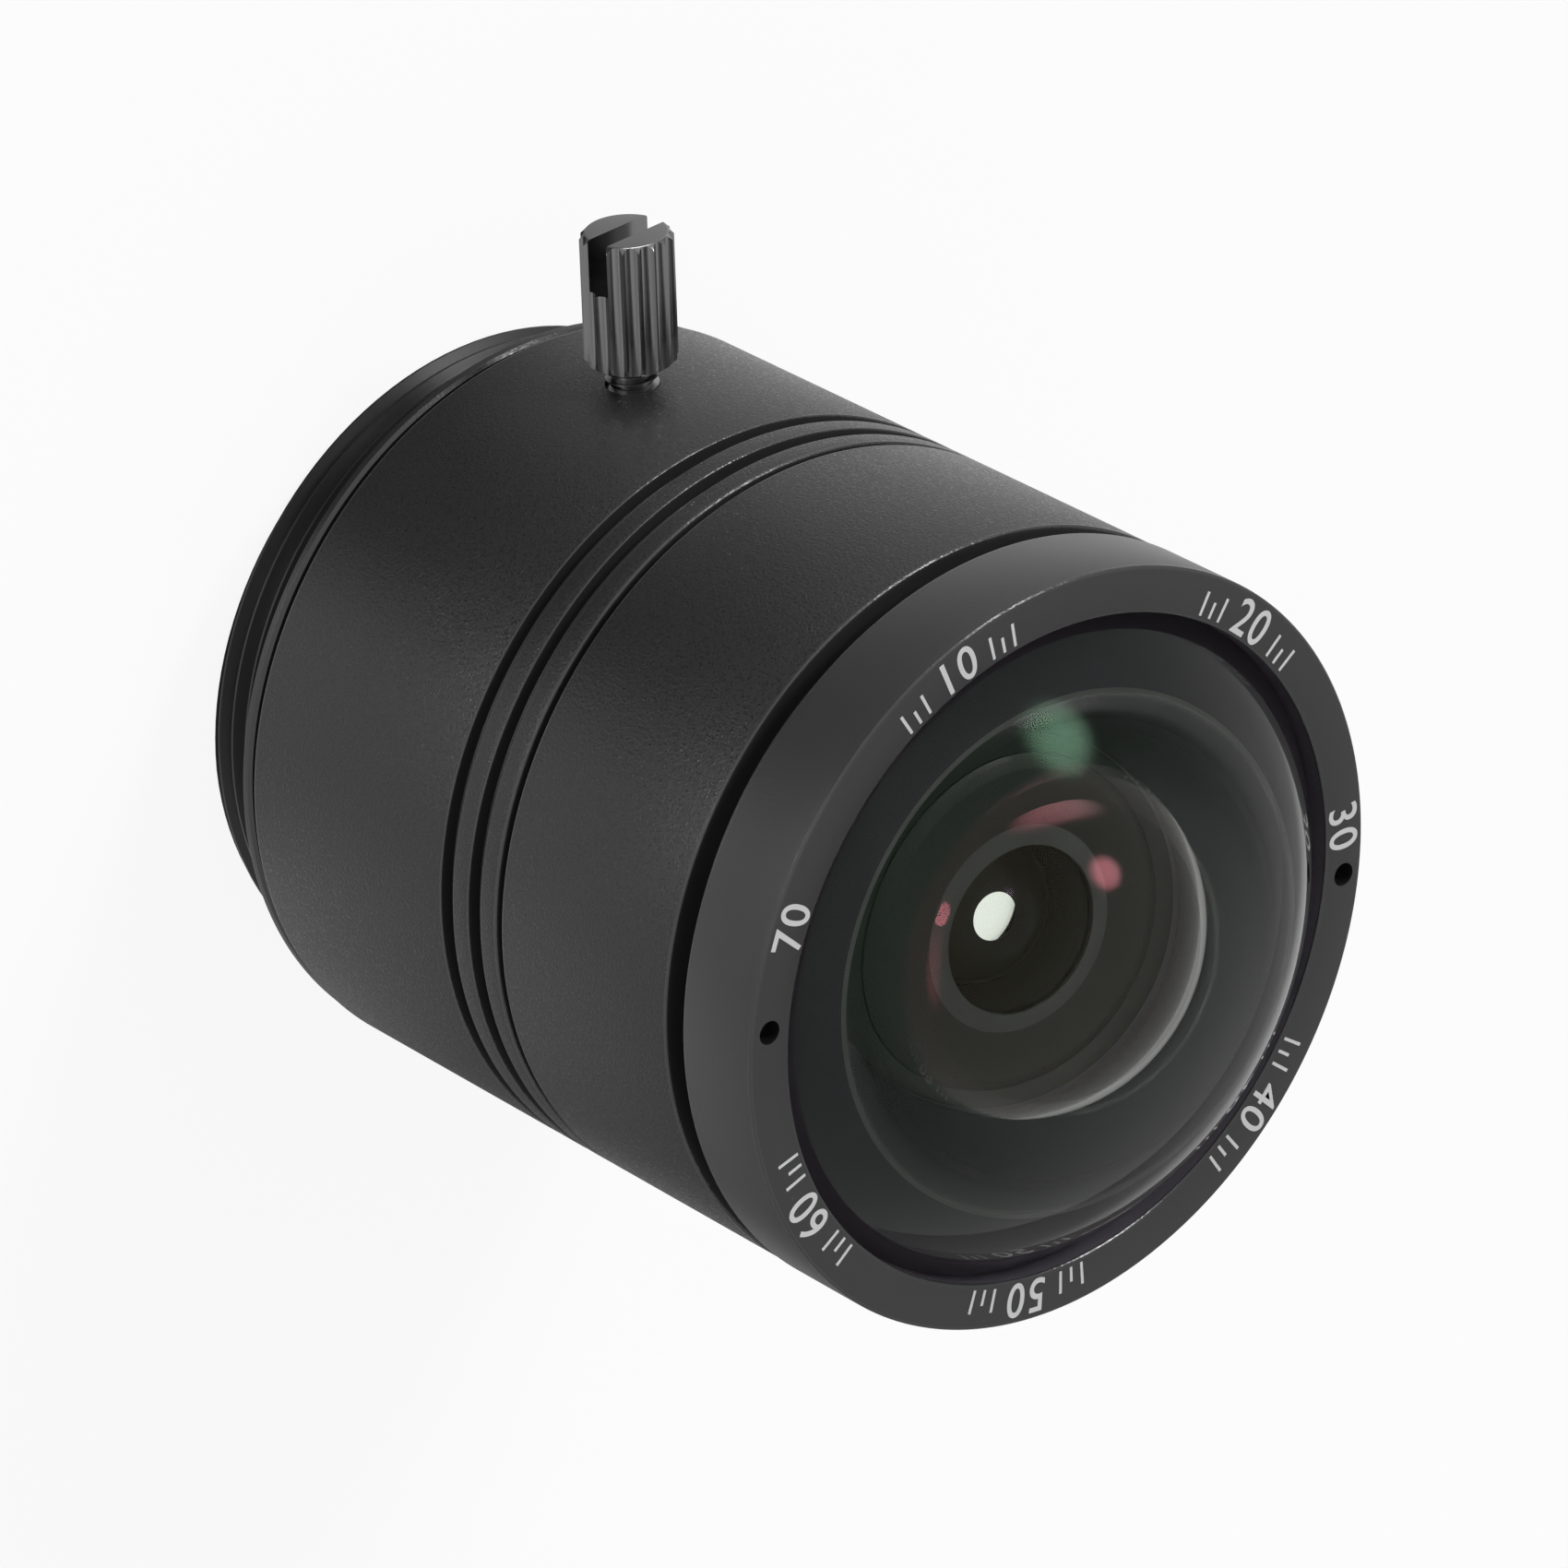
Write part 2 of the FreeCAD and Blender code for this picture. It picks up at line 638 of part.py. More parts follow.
def lay_across(body, turn):
    """Lays a piece that was made along Z into the thumb screw's hole, turned about its own axis."""
    lay = FreeCAD.Rotation(FreeCAD.Vector(0, 1, 0), 90)
    spin = FreeCAD.Rotation(FreeCAD.Vector(1, 0, 0), turn)
    body.Placement = FreeCAD.Placement(FreeCAD.Vector(0, 0, size.screw_height.value), spin.multiply(lay))


def lock_pad():
    """Soft pad that the thumb screw presses on the focusing sleeve."""
    outline = [Corner(ZERO, housing_bore), Corner(shank_radius, housing_bore), Corner(shank_radius, pad_front)]
    body = turned("lock_pad", outline + [Corner(ZERO, pad_front)])
    lay_across(body, 0)
    return body


def lock_screw():
    """Thumb screw with a long fluted head, a deep screwdriver slot and a threaded shank."""
    body = turned("lock_screw", [
        Corner(ZERO, screw_tip),
        Corner(shank_radius, screw_tip),
        Corner(shank_radius, head_foot),
        Corner(shank_radius + size.foot_step, head_foot),
        Corner(size.head_radius, head_start),
        Corner(size.head_radius, head_top - size.head_cut),
        Corner(size.head_radius - size.head_cut, head_top),
        Corner(ZERO, head_top),
    ])
    flute = sketch_on(body, "XY_Plane", "flute_outline", lift=head_foot)
    draw_circle(flute, size.head_radius + size.flute_radius - size.flute_depth, ZERO, size.flute_radius)
    first = cut(body, flute, "first_flute", size.head_taper + size.head_length, forward=True)
    around = body.newObject("PartDesign::PolarPattern", "flutes")
    around.Originals = [first]
    around.Axis = (flute, ["N_Axis"])
    around.Angle = 360
    around.Occurrences = FLUTES
    body.Tip = around
    slot = sketch_on(body, "XY_Plane", "slot_outline", lift=head_top)
    draw_slot(slot, size.head_radius + size.edge_cut, size.slot_width)
    cut(body, slot, "slot", size.slot_depth, forward=False)
    lay_across(body, size.screw_turn.value)
    return body


PIECES = (
    mount_ring,
    mount_housing,
    lock_pad,
    lock_screw,
    focus_sleeve,
    front_barrel,
    front_ring,
    front_element,
    lens_cell,
    cell_front_ring,
    element_2,
    aperture_stop,
    spacer_1,
    element_3,
    element_4,
    spacer_2,
    element_5,
    spacer_3,
    element_6,
    element_7,
    rear_retaining_ring,
)


def build():
    """Builds every piece, checks it and writes it under its own name."""
    bodies = [make() for make in PIECES]
    doc.recompute()
    for item in doc.Objects:
        if {"Invalid", "Error"} & set(item.State):
            raise RuntimeError(f"{item.Label} did not build: {item.State}")
    for body in bodies:
        if body.Shape.isNull() or not body.Shape.isValid():
            raise RuntimeError(f"{body.Label} has no valid shape")
    os.makedirs("parts", exist_ok=True)
    for body in bodies:
        body.Shape.exportStep(f"parts/{body.Label}.step")
        print(f"{body.Label}: {body.Shape.Volume:.1f} cubic mm in {len(body.Shape.Solids)} solid")


build()
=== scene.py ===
"""Looks of a fixed wide-angle camera lens: black anodised barrel, coated front dome and a fluted thumb screw.

The lens stands on its rear thread with its optical axis along +Z and the thumb screw along +X. The origin is on the
axis, in the flange plane. Outlines are written in millimetres, and MM turns them into Blender's metres.
"""
import logging
import math
from collections.abc import Callable, Sequence
from dataclasses import dataclass
from enum import Enum

import bmesh
import bpy
from mathutils import Matrix, Vector


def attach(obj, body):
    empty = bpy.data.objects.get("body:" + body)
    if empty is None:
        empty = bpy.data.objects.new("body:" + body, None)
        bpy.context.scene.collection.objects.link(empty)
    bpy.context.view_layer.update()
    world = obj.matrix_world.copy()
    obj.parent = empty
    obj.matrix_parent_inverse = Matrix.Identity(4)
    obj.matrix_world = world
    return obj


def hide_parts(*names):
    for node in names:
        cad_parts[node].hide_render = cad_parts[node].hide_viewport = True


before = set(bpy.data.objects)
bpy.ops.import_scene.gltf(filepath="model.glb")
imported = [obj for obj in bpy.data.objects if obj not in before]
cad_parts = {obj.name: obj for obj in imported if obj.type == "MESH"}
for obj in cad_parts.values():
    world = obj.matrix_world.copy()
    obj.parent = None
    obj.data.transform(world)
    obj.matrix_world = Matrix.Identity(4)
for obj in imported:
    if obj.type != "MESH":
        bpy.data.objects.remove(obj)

Shape = bmesh.types.BMesh
Face = bmesh.types.BMFace
Item = bpy.types.Object
Coat = bpy.types.Material
Tree = bpy.types.NodeTree
Node = bpy.types.Node
Socket = bpy.types.NodeSocket
Triple = tuple[float, float, float]

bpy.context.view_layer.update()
MM = 0.001
AROUND = 224
SHARP = math.radians(19)
ARC_STEP = math.radians(1.6)
WELD = 1e-7
BARREL = 14.16
SCREW_HEIGHT = 5.8
# Corners of a thread's tooth: 1 on the crest or 0 at the foot, and the share of the pitch.
TOOTH = ((0, 0.06), (1, 0.44), (1, 0.56), (0, 0.94))
TOOTH_SINK = 0.04
# The strips of a worn corner: the size of their normal's Z, and the largest face in square metres.
WORN_SLOPES = (0.2, 0.97)
WORN_AREA = 4e-8
SPARK_NOISE = (0.54, 0.62)
LATHE_RISE = 0.83
LAMP_EDGE = 1.3
log = logging.getLogger("lens")


@dataclass(frozen=True)
class Corner:
    """A corner of a turned outline, in millimetres.

    soft is the width of the worn bevel there. bend is the height on the axis of the centre that the edge to the
    next corner curves about, or None for a straight edge.
    """

    radius: float
    height: float
    soft: float = 0.0
    bend: float | None = None

    def point(self) -> Vector:
        """Its place in metres."""
        return Vector((self.radius * MM, 0, self.height * MM))


class Coating(Enum):
    """Colour that is left in the reflection of a coated glass face."""

    GREEN = (0.45, 1.0, 0.60)
    ROSE = (1.0, 0.24, 0.32)
    AMBER = (1.0, 0.66, 0.36)
    VIOLET = (0.72, 0.42, 1.0)


def link(name: str, data: bpy.types.ID) -> Item:
    """Puts a mesh, text or camera into the scene.

    Args:
        name: the object's name.
        data: what it shows.

    Returns:
        The object, at the origin.
    """
    item = bpy.data.objects.new(name, data)
    bpy.context.scene.collection.objects.link(item)
    return item


def to_data(name: str, shape: Shape) -> bpy.types.Mesh:
    """Turns a shape into mesh data.

    Args:
        name: the mesh's name.
        shape: the shape, which is freed.

    Returns:
        The mesh data.
    """
    data = bpy.data.meshes.new(name)
    shape.to_mesh(data)
    shape.free()
    return data


def settle(piece: Item, body: str, slot: str, *nodes: str) -> None:
    """Hangs a piece on its body and lets it stand for CAD nodes.

    Args:
        piece: the object.
        body: the CAD body that carries it.
        slot: the record's material slot; not used.
        nodes: the CAD nodes that it replaces.
    """
    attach(piece, body)
    if nodes:
        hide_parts(*nodes)
    log.info("%s: %d faces on %s", piece.name, len(piece.data.polygons), body)


def dress_node(name: str, finish: Coat) -> None:
    """Gives a CAD node that stays in view a better material.

    Args:
        name: the node.
        finish: its material.
    """
    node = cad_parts[name]
    if not node.material_slots:
        node.data.materials.append(finish)
    for slot in node.material_slots:
        slot.material = finish
    log.info("%s: kept from the CAD model", name)


def whereabouts(face: Face) -> tuple[float, float]:
    """The distance of a face's middle from the optical axis, and its height, in millimetres."""
    middle = face.calc_center_median() / MM
    return math.hypot(middle.x, middle.y), middle.z


def worn(face: Face) -> int:
    """Gives 1 to the slanted strips of a worn corner, and 0 to the rest."""
    return int(WORN_SLOPES[0] < abs(face.normal.z) < WORN_SLOPES[1] and face.calc_area() < WORN_AREA)


def feed(tree: Tree, socket: Socket, value: object) -> None:
    """Sets a node's input.

    Args:
        tree: the node tree.
        socket: the input.
        value: the socket that feeds it, or its plain value.
    """
    if isinstance(value, Socket):
        tree.links.new(value, socket)
    else:
        socket.default_value = value


def add(tree: Tree, kind: str, inputs: dict[str | int, object] | None = None, **settings: object) -> Node:
    """Adds a shader node.

    Args:
        tree: the node tree.
        kind: the node's type, without ShaderNode before it.
        inputs: a socket or a plain value for each input.
        settings: the node's other properties.

    Returns:
        The node.
    """
    node = tree.nodes.new("ShaderNode" + kind)
    for name, value in settings.items():
        setattr(node, name, value)
    for title, value in (inputs or {}).items():
        feed(tree, node.inputs[title], value)
    return node


def use(tree: Tree, group: Tree, **inputs: object) -> Node:
    """Adds a node that runs a shared group."""
    return add(tree, "Group", inputs, node_tree=group)


def compute(tree: Tree, kind: str, *values: object) -> Socket:
    """Adds a Math node for sockets or numbers, and gives its output."""
    return add(tree, "Math", dict(enumerate(values)), operation=kind).outputs[0]


def blend(tree: Tree, share: Socket, low: object, high: object, kind: str = "FLOAT") -> Socket:
    """Mixes two values.

    Args:
        tree: the node tree.
        share: 0 for the first value and 1 for the second.
        low: the first value, plain or a socket.
        high: the second one.
        kind: FLOAT for numbers or RGBA for colours.

    Returns:
        The mixed value.
    """
    return add(tree, "Mix", {"Factor": share, "A": low, "B": high}, data_type=kind).outputs["Result"]


def axes(tree: Tree, space: str = "Object") -> bpy.types.NodeOutputs:
    """Gives X, Y and Z of the coordinates, or of the direction where space is Generated in a world."""
    return add(tree, "SeparateXYZ", {0: add(tree, "TexCoord").outputs[space]}).outputs


def from_axis(tree: Tree, place: bpy.types.NodeOutputs) -> Socket:
    """Gives a place's distance from the optical axis."""
    squares = [compute(tree, "MULTIPLY", place[axis], place[axis]) for axis in "XY"]
    return compute(tree, "SQRT", compute(tree, "ADD", *squares))


def new_coat(name: str, inputs: dict[str, object]) -> Coat:
    """Starts a material.

    Args:
        name: its name.
        inputs: inputs of its Principled shader, each with its value.

    Returns:
        The material.
    """
    made = bpy.data.materials.new(name)
    made.use_nodes = True
    for title, value in inputs.items():
        feed(made.node_tree, made.node_tree.nodes["Principled BSDF"].inputs[title], value)
    return made


class Effects:
    """Node groups that several finishes share."""

    def __init__(self) -> None:
        """Builds the groups."""
        self.blast = self.bead_blast()
        self.lathe = self.lathe_marks()
        self.smudge = self.handling()
        self.outward = self.outer_band()
        self.lamp = self.soft_lamp()

    def start(self, name: str, inputs: dict[str, float]) -> tuple[Tree, bpy.types.NodeOutputs]:
        """Starts a group with plain number inputs.

        Args:
            name: the group's name.
            inputs: each input and its default.

        Returns:
            The group's tree, and the sockets that give its inputs.
        """
        tree = bpy.data.node_groups.new(name, "ShaderNodeTree")
        for title, value in inputs.items():
            made = tree.interface.new_socket(name=title, in_out="INPUT", socket_type="NodeSocketFloat")
            made.default_value = value
        return tree, tree.nodes.new("NodeGroupInput").outputs

    def close(self, tree: Tree, **results: Socket) -> Tree:
        """Gives a group its outputs.

        Args:
            tree: the group's tree.
            results: each output and the socket that feeds it.

        Returns:
            The same tree.
        """
        for title in results:
            tree.interface.new_socket(name=title, in_out="OUTPUT", socket_type="NodeSocketFloat")
        made = tree.nodes.new("NodeGroupOutput")
        for title, value in results.items():
            feed(tree, made.inputs[title], value)
        return tree

    def bead_blast(self) -> Tree:
        """Fine grain of a bead-blasted surface.

        Returns:
            A group with Height, for a Bump node, and Spark, which is 1 on the scattered shiny grains.
        """
        tree, given = self.start("bead_blast", {"Grain": 9000.0})
        place = add(tree, "TexCoord").outputs["Object"]
        noise = add(tree, "TexNoise", {"Vector": place, "Scale": given["Grain"], "Detail": 2.0, "Roughness": 0.6})
        split = add(tree, "SeparateColor", {"Color": noise.outputs["Color"]})
        low, high = SPARK_NOISE
        shiny = add(tree, "MapRange", {"Value": split.outputs["Green"], "From Min": low, "From Max": high})
        return self.close(tree, Height=noise.outputs["Fac"], Spark=shiny.outputs["Result"])

    def lathe_marks(self) -> Tree:
        """Fine turning marks around the optical axis.

        Returns:
            A group with Height, which changes with the distance from the axis and the height alone.
        """
        tree, given = self.start("lathe_marks", {"Pitch": 14000.0})
        place = axes(tree)
        spread = compute(tree, "ADD", from_axis(tree, place), compute(tree, "MULTIPLY", place["Z"], LATHE_RISE))
        course = compute(tree, "MULTIPLY", spread, given["Pitch"])
        noise = add(tree, "TexNoise", {"W": course, "Scale": 1.0, "Detail": 3.0}, noise_dimensions="1D")
        return self.close(tree, Height=noise.outputs["Fac"])

    def handling(self) -> Tree:
        """Broad, faint unevenness that handling leaves.

        Returns:
            A group with Factor, from about 0 to 1.
        """
        tree, given = self.start("handling", {"Size": 160.0})
        place = add(tree, "TexCoord").outputs["Object"]
        noise = add(tree, "TexNoise", {"Vector": place, "Scale": given["Size"], "Detail": 4.0})
        return self.close(tree, Factor=noise.outputs["Fac"])

    def outer_band(self) -> Tree:
        """A mask that rises with the distance from the optical axis.

        Returns:
            A group with Factor, 0 at the Start radius and 1 at the End radius, both in metres.
        """
        tree, given = self.start("outer_band", {"Start": 0.0115, "End": 0.0127})
        rise = add(tree, "MapRange", {
            "Value": from_axis(tree, axes(tree)), "From Min": given["Start"], "From Max": given["End"],
        }, interpolation_type="SMOOTHSTEP")
        return self.close(tree, Factor=rise.outputs["Result"])

    def soft_lamp(self) -> Tree:
        """A far soft box with blurred edges, for the surroundings.

        Returns:
            A group with Glow, which is Power in the lamp's middle and fades to 0 at its edges. Around and Above are
            the lamp's direction and Wide and Tall its half widths, all in radians.
        """
        sizes = {"Around": 0.0, "Above": 0.7, "Wide": 0.2, "Tall": 0.2, "Power": 1.0}
        tree, given = self.start("soft_lamp", sizes)
        course = axes(tree, "Generated")
        around = compute(tree, "ARCTAN2", course["Y"], course["X"])
        above = compute(tree, "ARCSINE", course["Z"])
        squares = []
        for angle, middle, half in ((around, "Around", "Wide"), (above, "Above", "Tall")):
            off = compute(tree, "SUBTRACT", angle, given[middle])
            share = compute(tree, "DIVIDE", off, given[half])
            squares.append(compute(tree, "MULTIPLY", share, share))
        fade = add(tree, "MapRange", {
            "Value": compute(tree, "ADD", *squares), "From Min": LAMP_EDGE, "From Max": 0.0,
        }, interpolation_type="SMOOTHSTEP").outputs["Result"]
        soft = compute(tree, "MULTIPLY", fade, fade)
        return self.close(tree, Glow=compute(tree, "MULTIPLY", soft, given["Power"]))


@dataclass(frozen=True)
class Finish:
    """A finish whose colour and gloss vary a little over the surface.

    grain and lathe are the depths of their bumps in millimetres, and spark is the roughness of the shiny grains.
    The outer tint, a painted coloured reflection, takes over between the two radii of outer_reach.
    """

    name: str
    dark: Triple
    pale: Triple
    smooth: float
    rough: float
    metallic: float = 0.0
    specular: float = 0.5
    grain: float = 0.0
    grain_size: float = 9000.0
    spark: float | None = None
    lathe: float = 0.0
    painted_reflection_tint: Triple | None = None
    outer_reach: tuple[float, float] = (11.2, 12.6)

    def material(self, effects: Effects) -> Coat:
        """Builds the material.

        Args:
            effects: the shared node groups.

        Returns:
            The material.
        """
        made = new_coat(self.name, {"Metallic": self.metallic, "Specular IOR Level": self.specular})
        tree = made.node_tree
        smudge = use(tree, effects.smudge).outputs["Factor"]
        colour = blend(tree, smudge, (*self.dark, 1), (*self.pale, 1), "RGBA")
        # The outer tint is a painted coloured reflection, laid on by the distance from the axis.
        if self.painted_reflection_tint:
            start, end = self.outer_reach
            band = use(tree, effects.outward, Start=start * MM, End=end * MM)
            colour = blend(tree, band.outputs["Factor"], colour, (*self.painted_reflection_tint, 1), "RGBA")
        gloss = add(tree, "MapRange", {"Value": smudge, "To Min": self.smooth, "To Max": self.rough})
        looks = {"Base Color": colour, "Roughness": gloss.outputs["Result"]}
        if self.grain:
            blast = use(tree, effects.blast, Grain=self.grain_size).outputs
            looks["Normal"] = self.bump(tree, blast["Height"], self.grain)
            if self.spark is not None:
                looks["Roughness"] = blend(tree, blast["Spark"], looks["Roughness"], self.spark)
        if self.lathe:
            marks = use(tree, effects.lathe).outputs["Height"]
            looks["Normal"] = self.bump(tree, marks, self.lathe, looks.get("Normal"))
        for title, value in looks.items():
            feed(tree, tree.nodes["Principled BSDF"].inputs[title], value)
        return made

    def bump(self, tree: Tree, height: Socket, reach: float, below: Socket | None = None) -> Socket:
        """Adds a bump.

        Args:
            tree: the material's tree.
            height: the socket that gives its height.
            reach: its depth in millimetres.
            below: the normal that it stands on, or None for the surface's own.

        Returns:
            The new normal.
        """
        inputs = {"Height": height, "Strength": 1.0, "Distance": reach * MM}
        if below is not None:
            inputs["Normal"] = below
        return add(tree, "Bump", inputs).outputs["Normal"]


@dataclass(frozen=True)
class CoatedGlass:
    """Polished optical glass whose coating leaves a weak, coloured reflection.

    left is the share of a bare face's reflection that the coating leaves.
    """

    name: str
    coating: Coating
    left: float
    index: float = 1.7

    def material(self) -> Coat:
        """Builds the material."""
        return new_coat(self.name, {
            "Base Color": (0.985, 0.99, 0.97, 1), "Roughness": 0.0, "IOR": self.index, "Transmission Weight": 1.0,
            "Specular Tint": (*(self.left * tone for tone in self.coating.value), 1),
        })


class Palette:
    """Every finish of the lens."""

    def __init__(self, effects: Effects) -> None:
        """Builds the materials once.

        Args:
            effects: the shared node groups.
        """
        self.barrel = Finish("blasted_black", (0.0085, 0.0085, 0.0088), (0.0130, 0.0130, 0.0133), 0.37, 0.45,
                             grain=0.036, spark=0.25).material(effects)
        self.edge = Finish("worn_edge", (0.04, 0.04, 0.041), (0.08, 0.08, 0.082), 0.17, 0.25, metallic=0.5,
                           grain=0.016, grain_size=6500).material(effects)
        self.lip = Finish("lip_black", (0.008, 0.008, 0.008), (0.013, 0.013, 0.013), 0.18, 0.26, specular=0.9,
                          grain=0.010, grain_size=6500).material(effects)
        self.ring = Finish("satin_black", (0.0190, 0.0190, 0.0194), (0.0250, 0.0250, 0.0254), 0.32, 0.40,
                           grain=0.006, grain_size=12000, lathe=0.0010).material(effects)
        # Painted shade: a darker copy of the black anodise for grooves, seams, holes and inner faces.
        self.shaded_recess = Finish("groove_painted_shade", (0.006, 0.006, 0.006), (0.009, 0.009, 0.009), 0.42, 0.55,
                             lathe=0.002).material(effects)
        self.thread = Finish("thread_black", (0.008, 0.008, 0.008), (0.013, 0.013, 0.013), 0.30, 0.40,
                             lathe=0.0015).material(effects)
        self.inner = Finish("inner_black", (0.0150, 0.0138, 0.0118), (0.0205, 0.0190, 0.0165), 0.40, 0.55,
                            lathe=0.002).material(effects)
        # Painted light: a lighter, violet-tinged copy of the black anodise on the front ring's opening wall and
        # pocket, for the light seen there.
        self.pocket = Finish("pocket_painted_light", (0.062, 0.056, 0.068), (0.084, 0.076, 0.092), 0.35, 0.50,
                             lathe=0.001).material(effects)
        self.land = Finish("inner_grey", (0.062, 0.062, 0.061), (0.080, 0.080, 0.079), 0.30, 0.42,
                           lathe=0.0015).material(effects)
        self.nickel = Finish("black_nickel", (0.20, 0.20, 0.203), (0.31, 0.31, 0.315), 0.14, 0.24, metallic=1.0,
                             grain=0.0015, grain_size=5000).material(effects)
        self.paint = Finish("mark_paint", (0.58, 0.58, 0.58), (0.68, 0.68, 0.68), 0.5, 0.65,
                            grain=0.003).material(effects)
        self.nylon = Finish("white_nylon", (0.62, 0.61, 0.57), (0.72, 0.71, 0.67), 0.45, 0.6,
                            grain=0.004).material(effects)
        # Blackened glass edge: real black paint; its violet tint and paler violet outer band are painted coloured
        # reflections of the coatings.
        self.ground = Finish("glass_edge_black_painted_tint", (0.0400, 0.0310, 0.0410), (0.0500, 0.0390, 0.0510), 0.60, 0.75,
                             specular=0.3, painted_reflection_tint=(0.066, 0.042, 0.062)).material(effects)
        self.rim = Finish("ground_glass_rim", (0.085, 0.085, 0.083), (0.125, 0.125, 0.122), 0.55, 0.7,
                          grain=0.004, grain_size=16000).material(effects)
        self.dome = CoatedGlass("dome_glass", Coating.GREEN, 0.17).material()
        self.bowl = CoatedGlass("bowl_glass", Coating.ROSE, 0.38).material()
        self.first = CoatedGlass("second_front_glass", Coating.AMBER, 0.12, 1.75).material()
        self.second = CoatedGlass("second_rear_glass", Coating.VIOLET, 0.10, 1.75).material()
        self.crown = CoatedGlass("crown_glass", Coating.AMBER, 0.12, 1.45).material()
        self.flint = CoatedGlass("flint_glass", Coating.AMBER, 0.10, 1.9).material()
        self.rear = CoatedGlass("rear_glass", Coating.VIOLET, 0.12, 1.65).material()
        self.walls = [self.barrel, self.edge, self.shaded_recess]


@dataclass
class Assembly:
    """Base of the sub-assemblies: makes turned, threaded and cut pieces, and hangs them on its body."""

    palette: Palette
    body: str

    def outline(self, shape: Shape, corners: Sequence[Corner], closed: bool) -> None:
        """Draws a turned piece's outline in the XZ plane.

        Args:
            shape: the mesh that takes the outline.
            corners: the corners in order.
            closed: whether the last corner joins the first one.
        """
        points = [shape.verts.new(corner.point()) for corner in corners]
        for number in range(len(corners) if closed else len(corners) - 1):
            following = (number + 1) % len(corners)
            here, there = corners[number], corners[following]
            if here.bend is None:
                shape.edges.new((points[number], points[following]))
                continue
            start = math.atan2(here.height - here.bend, here.radius)
            end = math.atan2(there.height - here.bend, there.radius)
            bmesh.ops.spin(
                shape, geom=[points[number]], cent=(0, 0, here.bend * MM), axis=(0, 1, 0), dvec=(0, 0, 0),
                angle=start - end, steps=max(4, round(abs(end - start) / ARC_STEP)), use_merge=False,
                use_duplicate=False,
            )
        bmesh.ops.remove_doubles(shape, verts=shape.verts[:], dist=WELD)

    def soften(self, shape: Shape, corners: Sequence[Corner]) -> None:
        """Bevels the outline's worn corners.

        Args:
            shape: the mesh that holds the outline.
            corners: the corners with their bevel widths.
        """
        for width in sorted({c.soft for c in corners if c.soft}):
            places = [c.point() for c in corners if c.soft == width]
            picked = [v for v in shape.verts if any((v.co - p).length < WELD for p in places)]
            bmesh.ops.bevel(
                shape, geom=picked, offset=width * MM, offset_type="OFFSET", segments=3, profile=0.5,
                affect="VERTICES", material=-1, clamp_overlap=True,
            )

    def turned(self, corners: Sequence[Corner], closed: bool = True, around: int = AROUND) -> Shape:
        """Turns an outline about Z into a closed solid.

        Args:
            corners: the outline's corners.
            closed: False where the outline starts and ends on the axis.
            around: faces around the axis.

        Returns:
            The solid's mesh.
        """
        shape = bmesh.new()
        self.outline(shape, corners, closed)
        self.soften(shape, corners)
        bmesh.ops.spin(
            shape, geom=shape.verts[:] + shape.edges[:], cent=(0, 0, 0), axis=(0, 0, 1), dvec=(0, 0, 0),
            angle=math.tau, steps=around, use_merge=True, use_duplicate=False,
        )
        bmesh.ops.remove_doubles(shape, verts=shape.verts[:], dist=2 * WELD)
        bmesh.ops.recalc_face_normals(shape, faces=shape.faces[:])
        return shape

    def ridge(self, crest: float, root: float, pitch: float, low: float, high: float, around: int) -> Shape:
        """Winds a thread's ridge about Z.

        Args:
            crest: radius of the crests, in millimetres.
            root: radius between them.
            pitch: height of a turn.
            low: height of the thread's first plane.
            high: height of its last plane.
            around: steps in a turn.

        Returns:
            The ridge's mesh, cut off at both planes.
        """
        shape = bmesh.new()
        turns = math.ceil((high - low) / pitch) + 2
        base = low - pitch
        radii = (root - TOOTH_SINK, crest)
        points = [shape.verts.new((radii[tip] * MM, 0, (base + share * pitch) * MM)) for tip, share in TOOTH]
        bmesh.ops.spin(
            shape, geom=[shape.faces.new(points)], cent=(0, 0, 0), axis=(0, 0, 1), dvec=(0, 0, pitch * MM / around),
            angle=math.tau * turns, steps=around * turns, use_merge=False, use_duplicate=False,
        )
        for height, away in ((low, -1), (high, 1)):
            cut = bmesh.ops.bisect_plane(
                shape, geom=shape.verts[:] + shape.edges[:] + shape.faces[:], dist=1e-9,
                plane_co=(0, 0, height * MM), plane_no=(0, 0, away), clear_outer=True,
            )
            rim = [e for e in cut["geom_cut"] if isinstance(e, bmesh.types.BMEdge)]
            bmesh.ops.holes_fill(shape, edges=rim, sides=0)
        bmesh.ops.recalc_face_normals(shape, faces=shape.faces[:])
        return shape

    def combine(self, base: Shape, tool: Shape, how: str) -> Shape:
        """Cuts or intersects two closed shapes.

        Args:
            base: the shape that is worked on.
            tool: the shape that works on it.
            how: DIFFERENCE or INTERSECT.

        Returns:
            The resulting shape. Both inputs are freed.
        """
        pair = [link("work", to_data("work", shape)) for shape in (base, tool)]
        step = pair[0].modifiers.new("combine", "BOOLEAN")
        step.operation = how
        step.solver = "EXACT"
        step.object = pair[1]
        bpy.context.view_layer.update()
        done = pair[0].evaluated_get(bpy.context.evaluated_depsgraph_get())
        result = bmesh.new()
        result.from_mesh(done.to_mesh())
        done.to_mesh_clear()
        for item in pair:
            data = item.data
            bpy.data.objects.remove(item)
            bpy.data.meshes.remove(data)
        return result

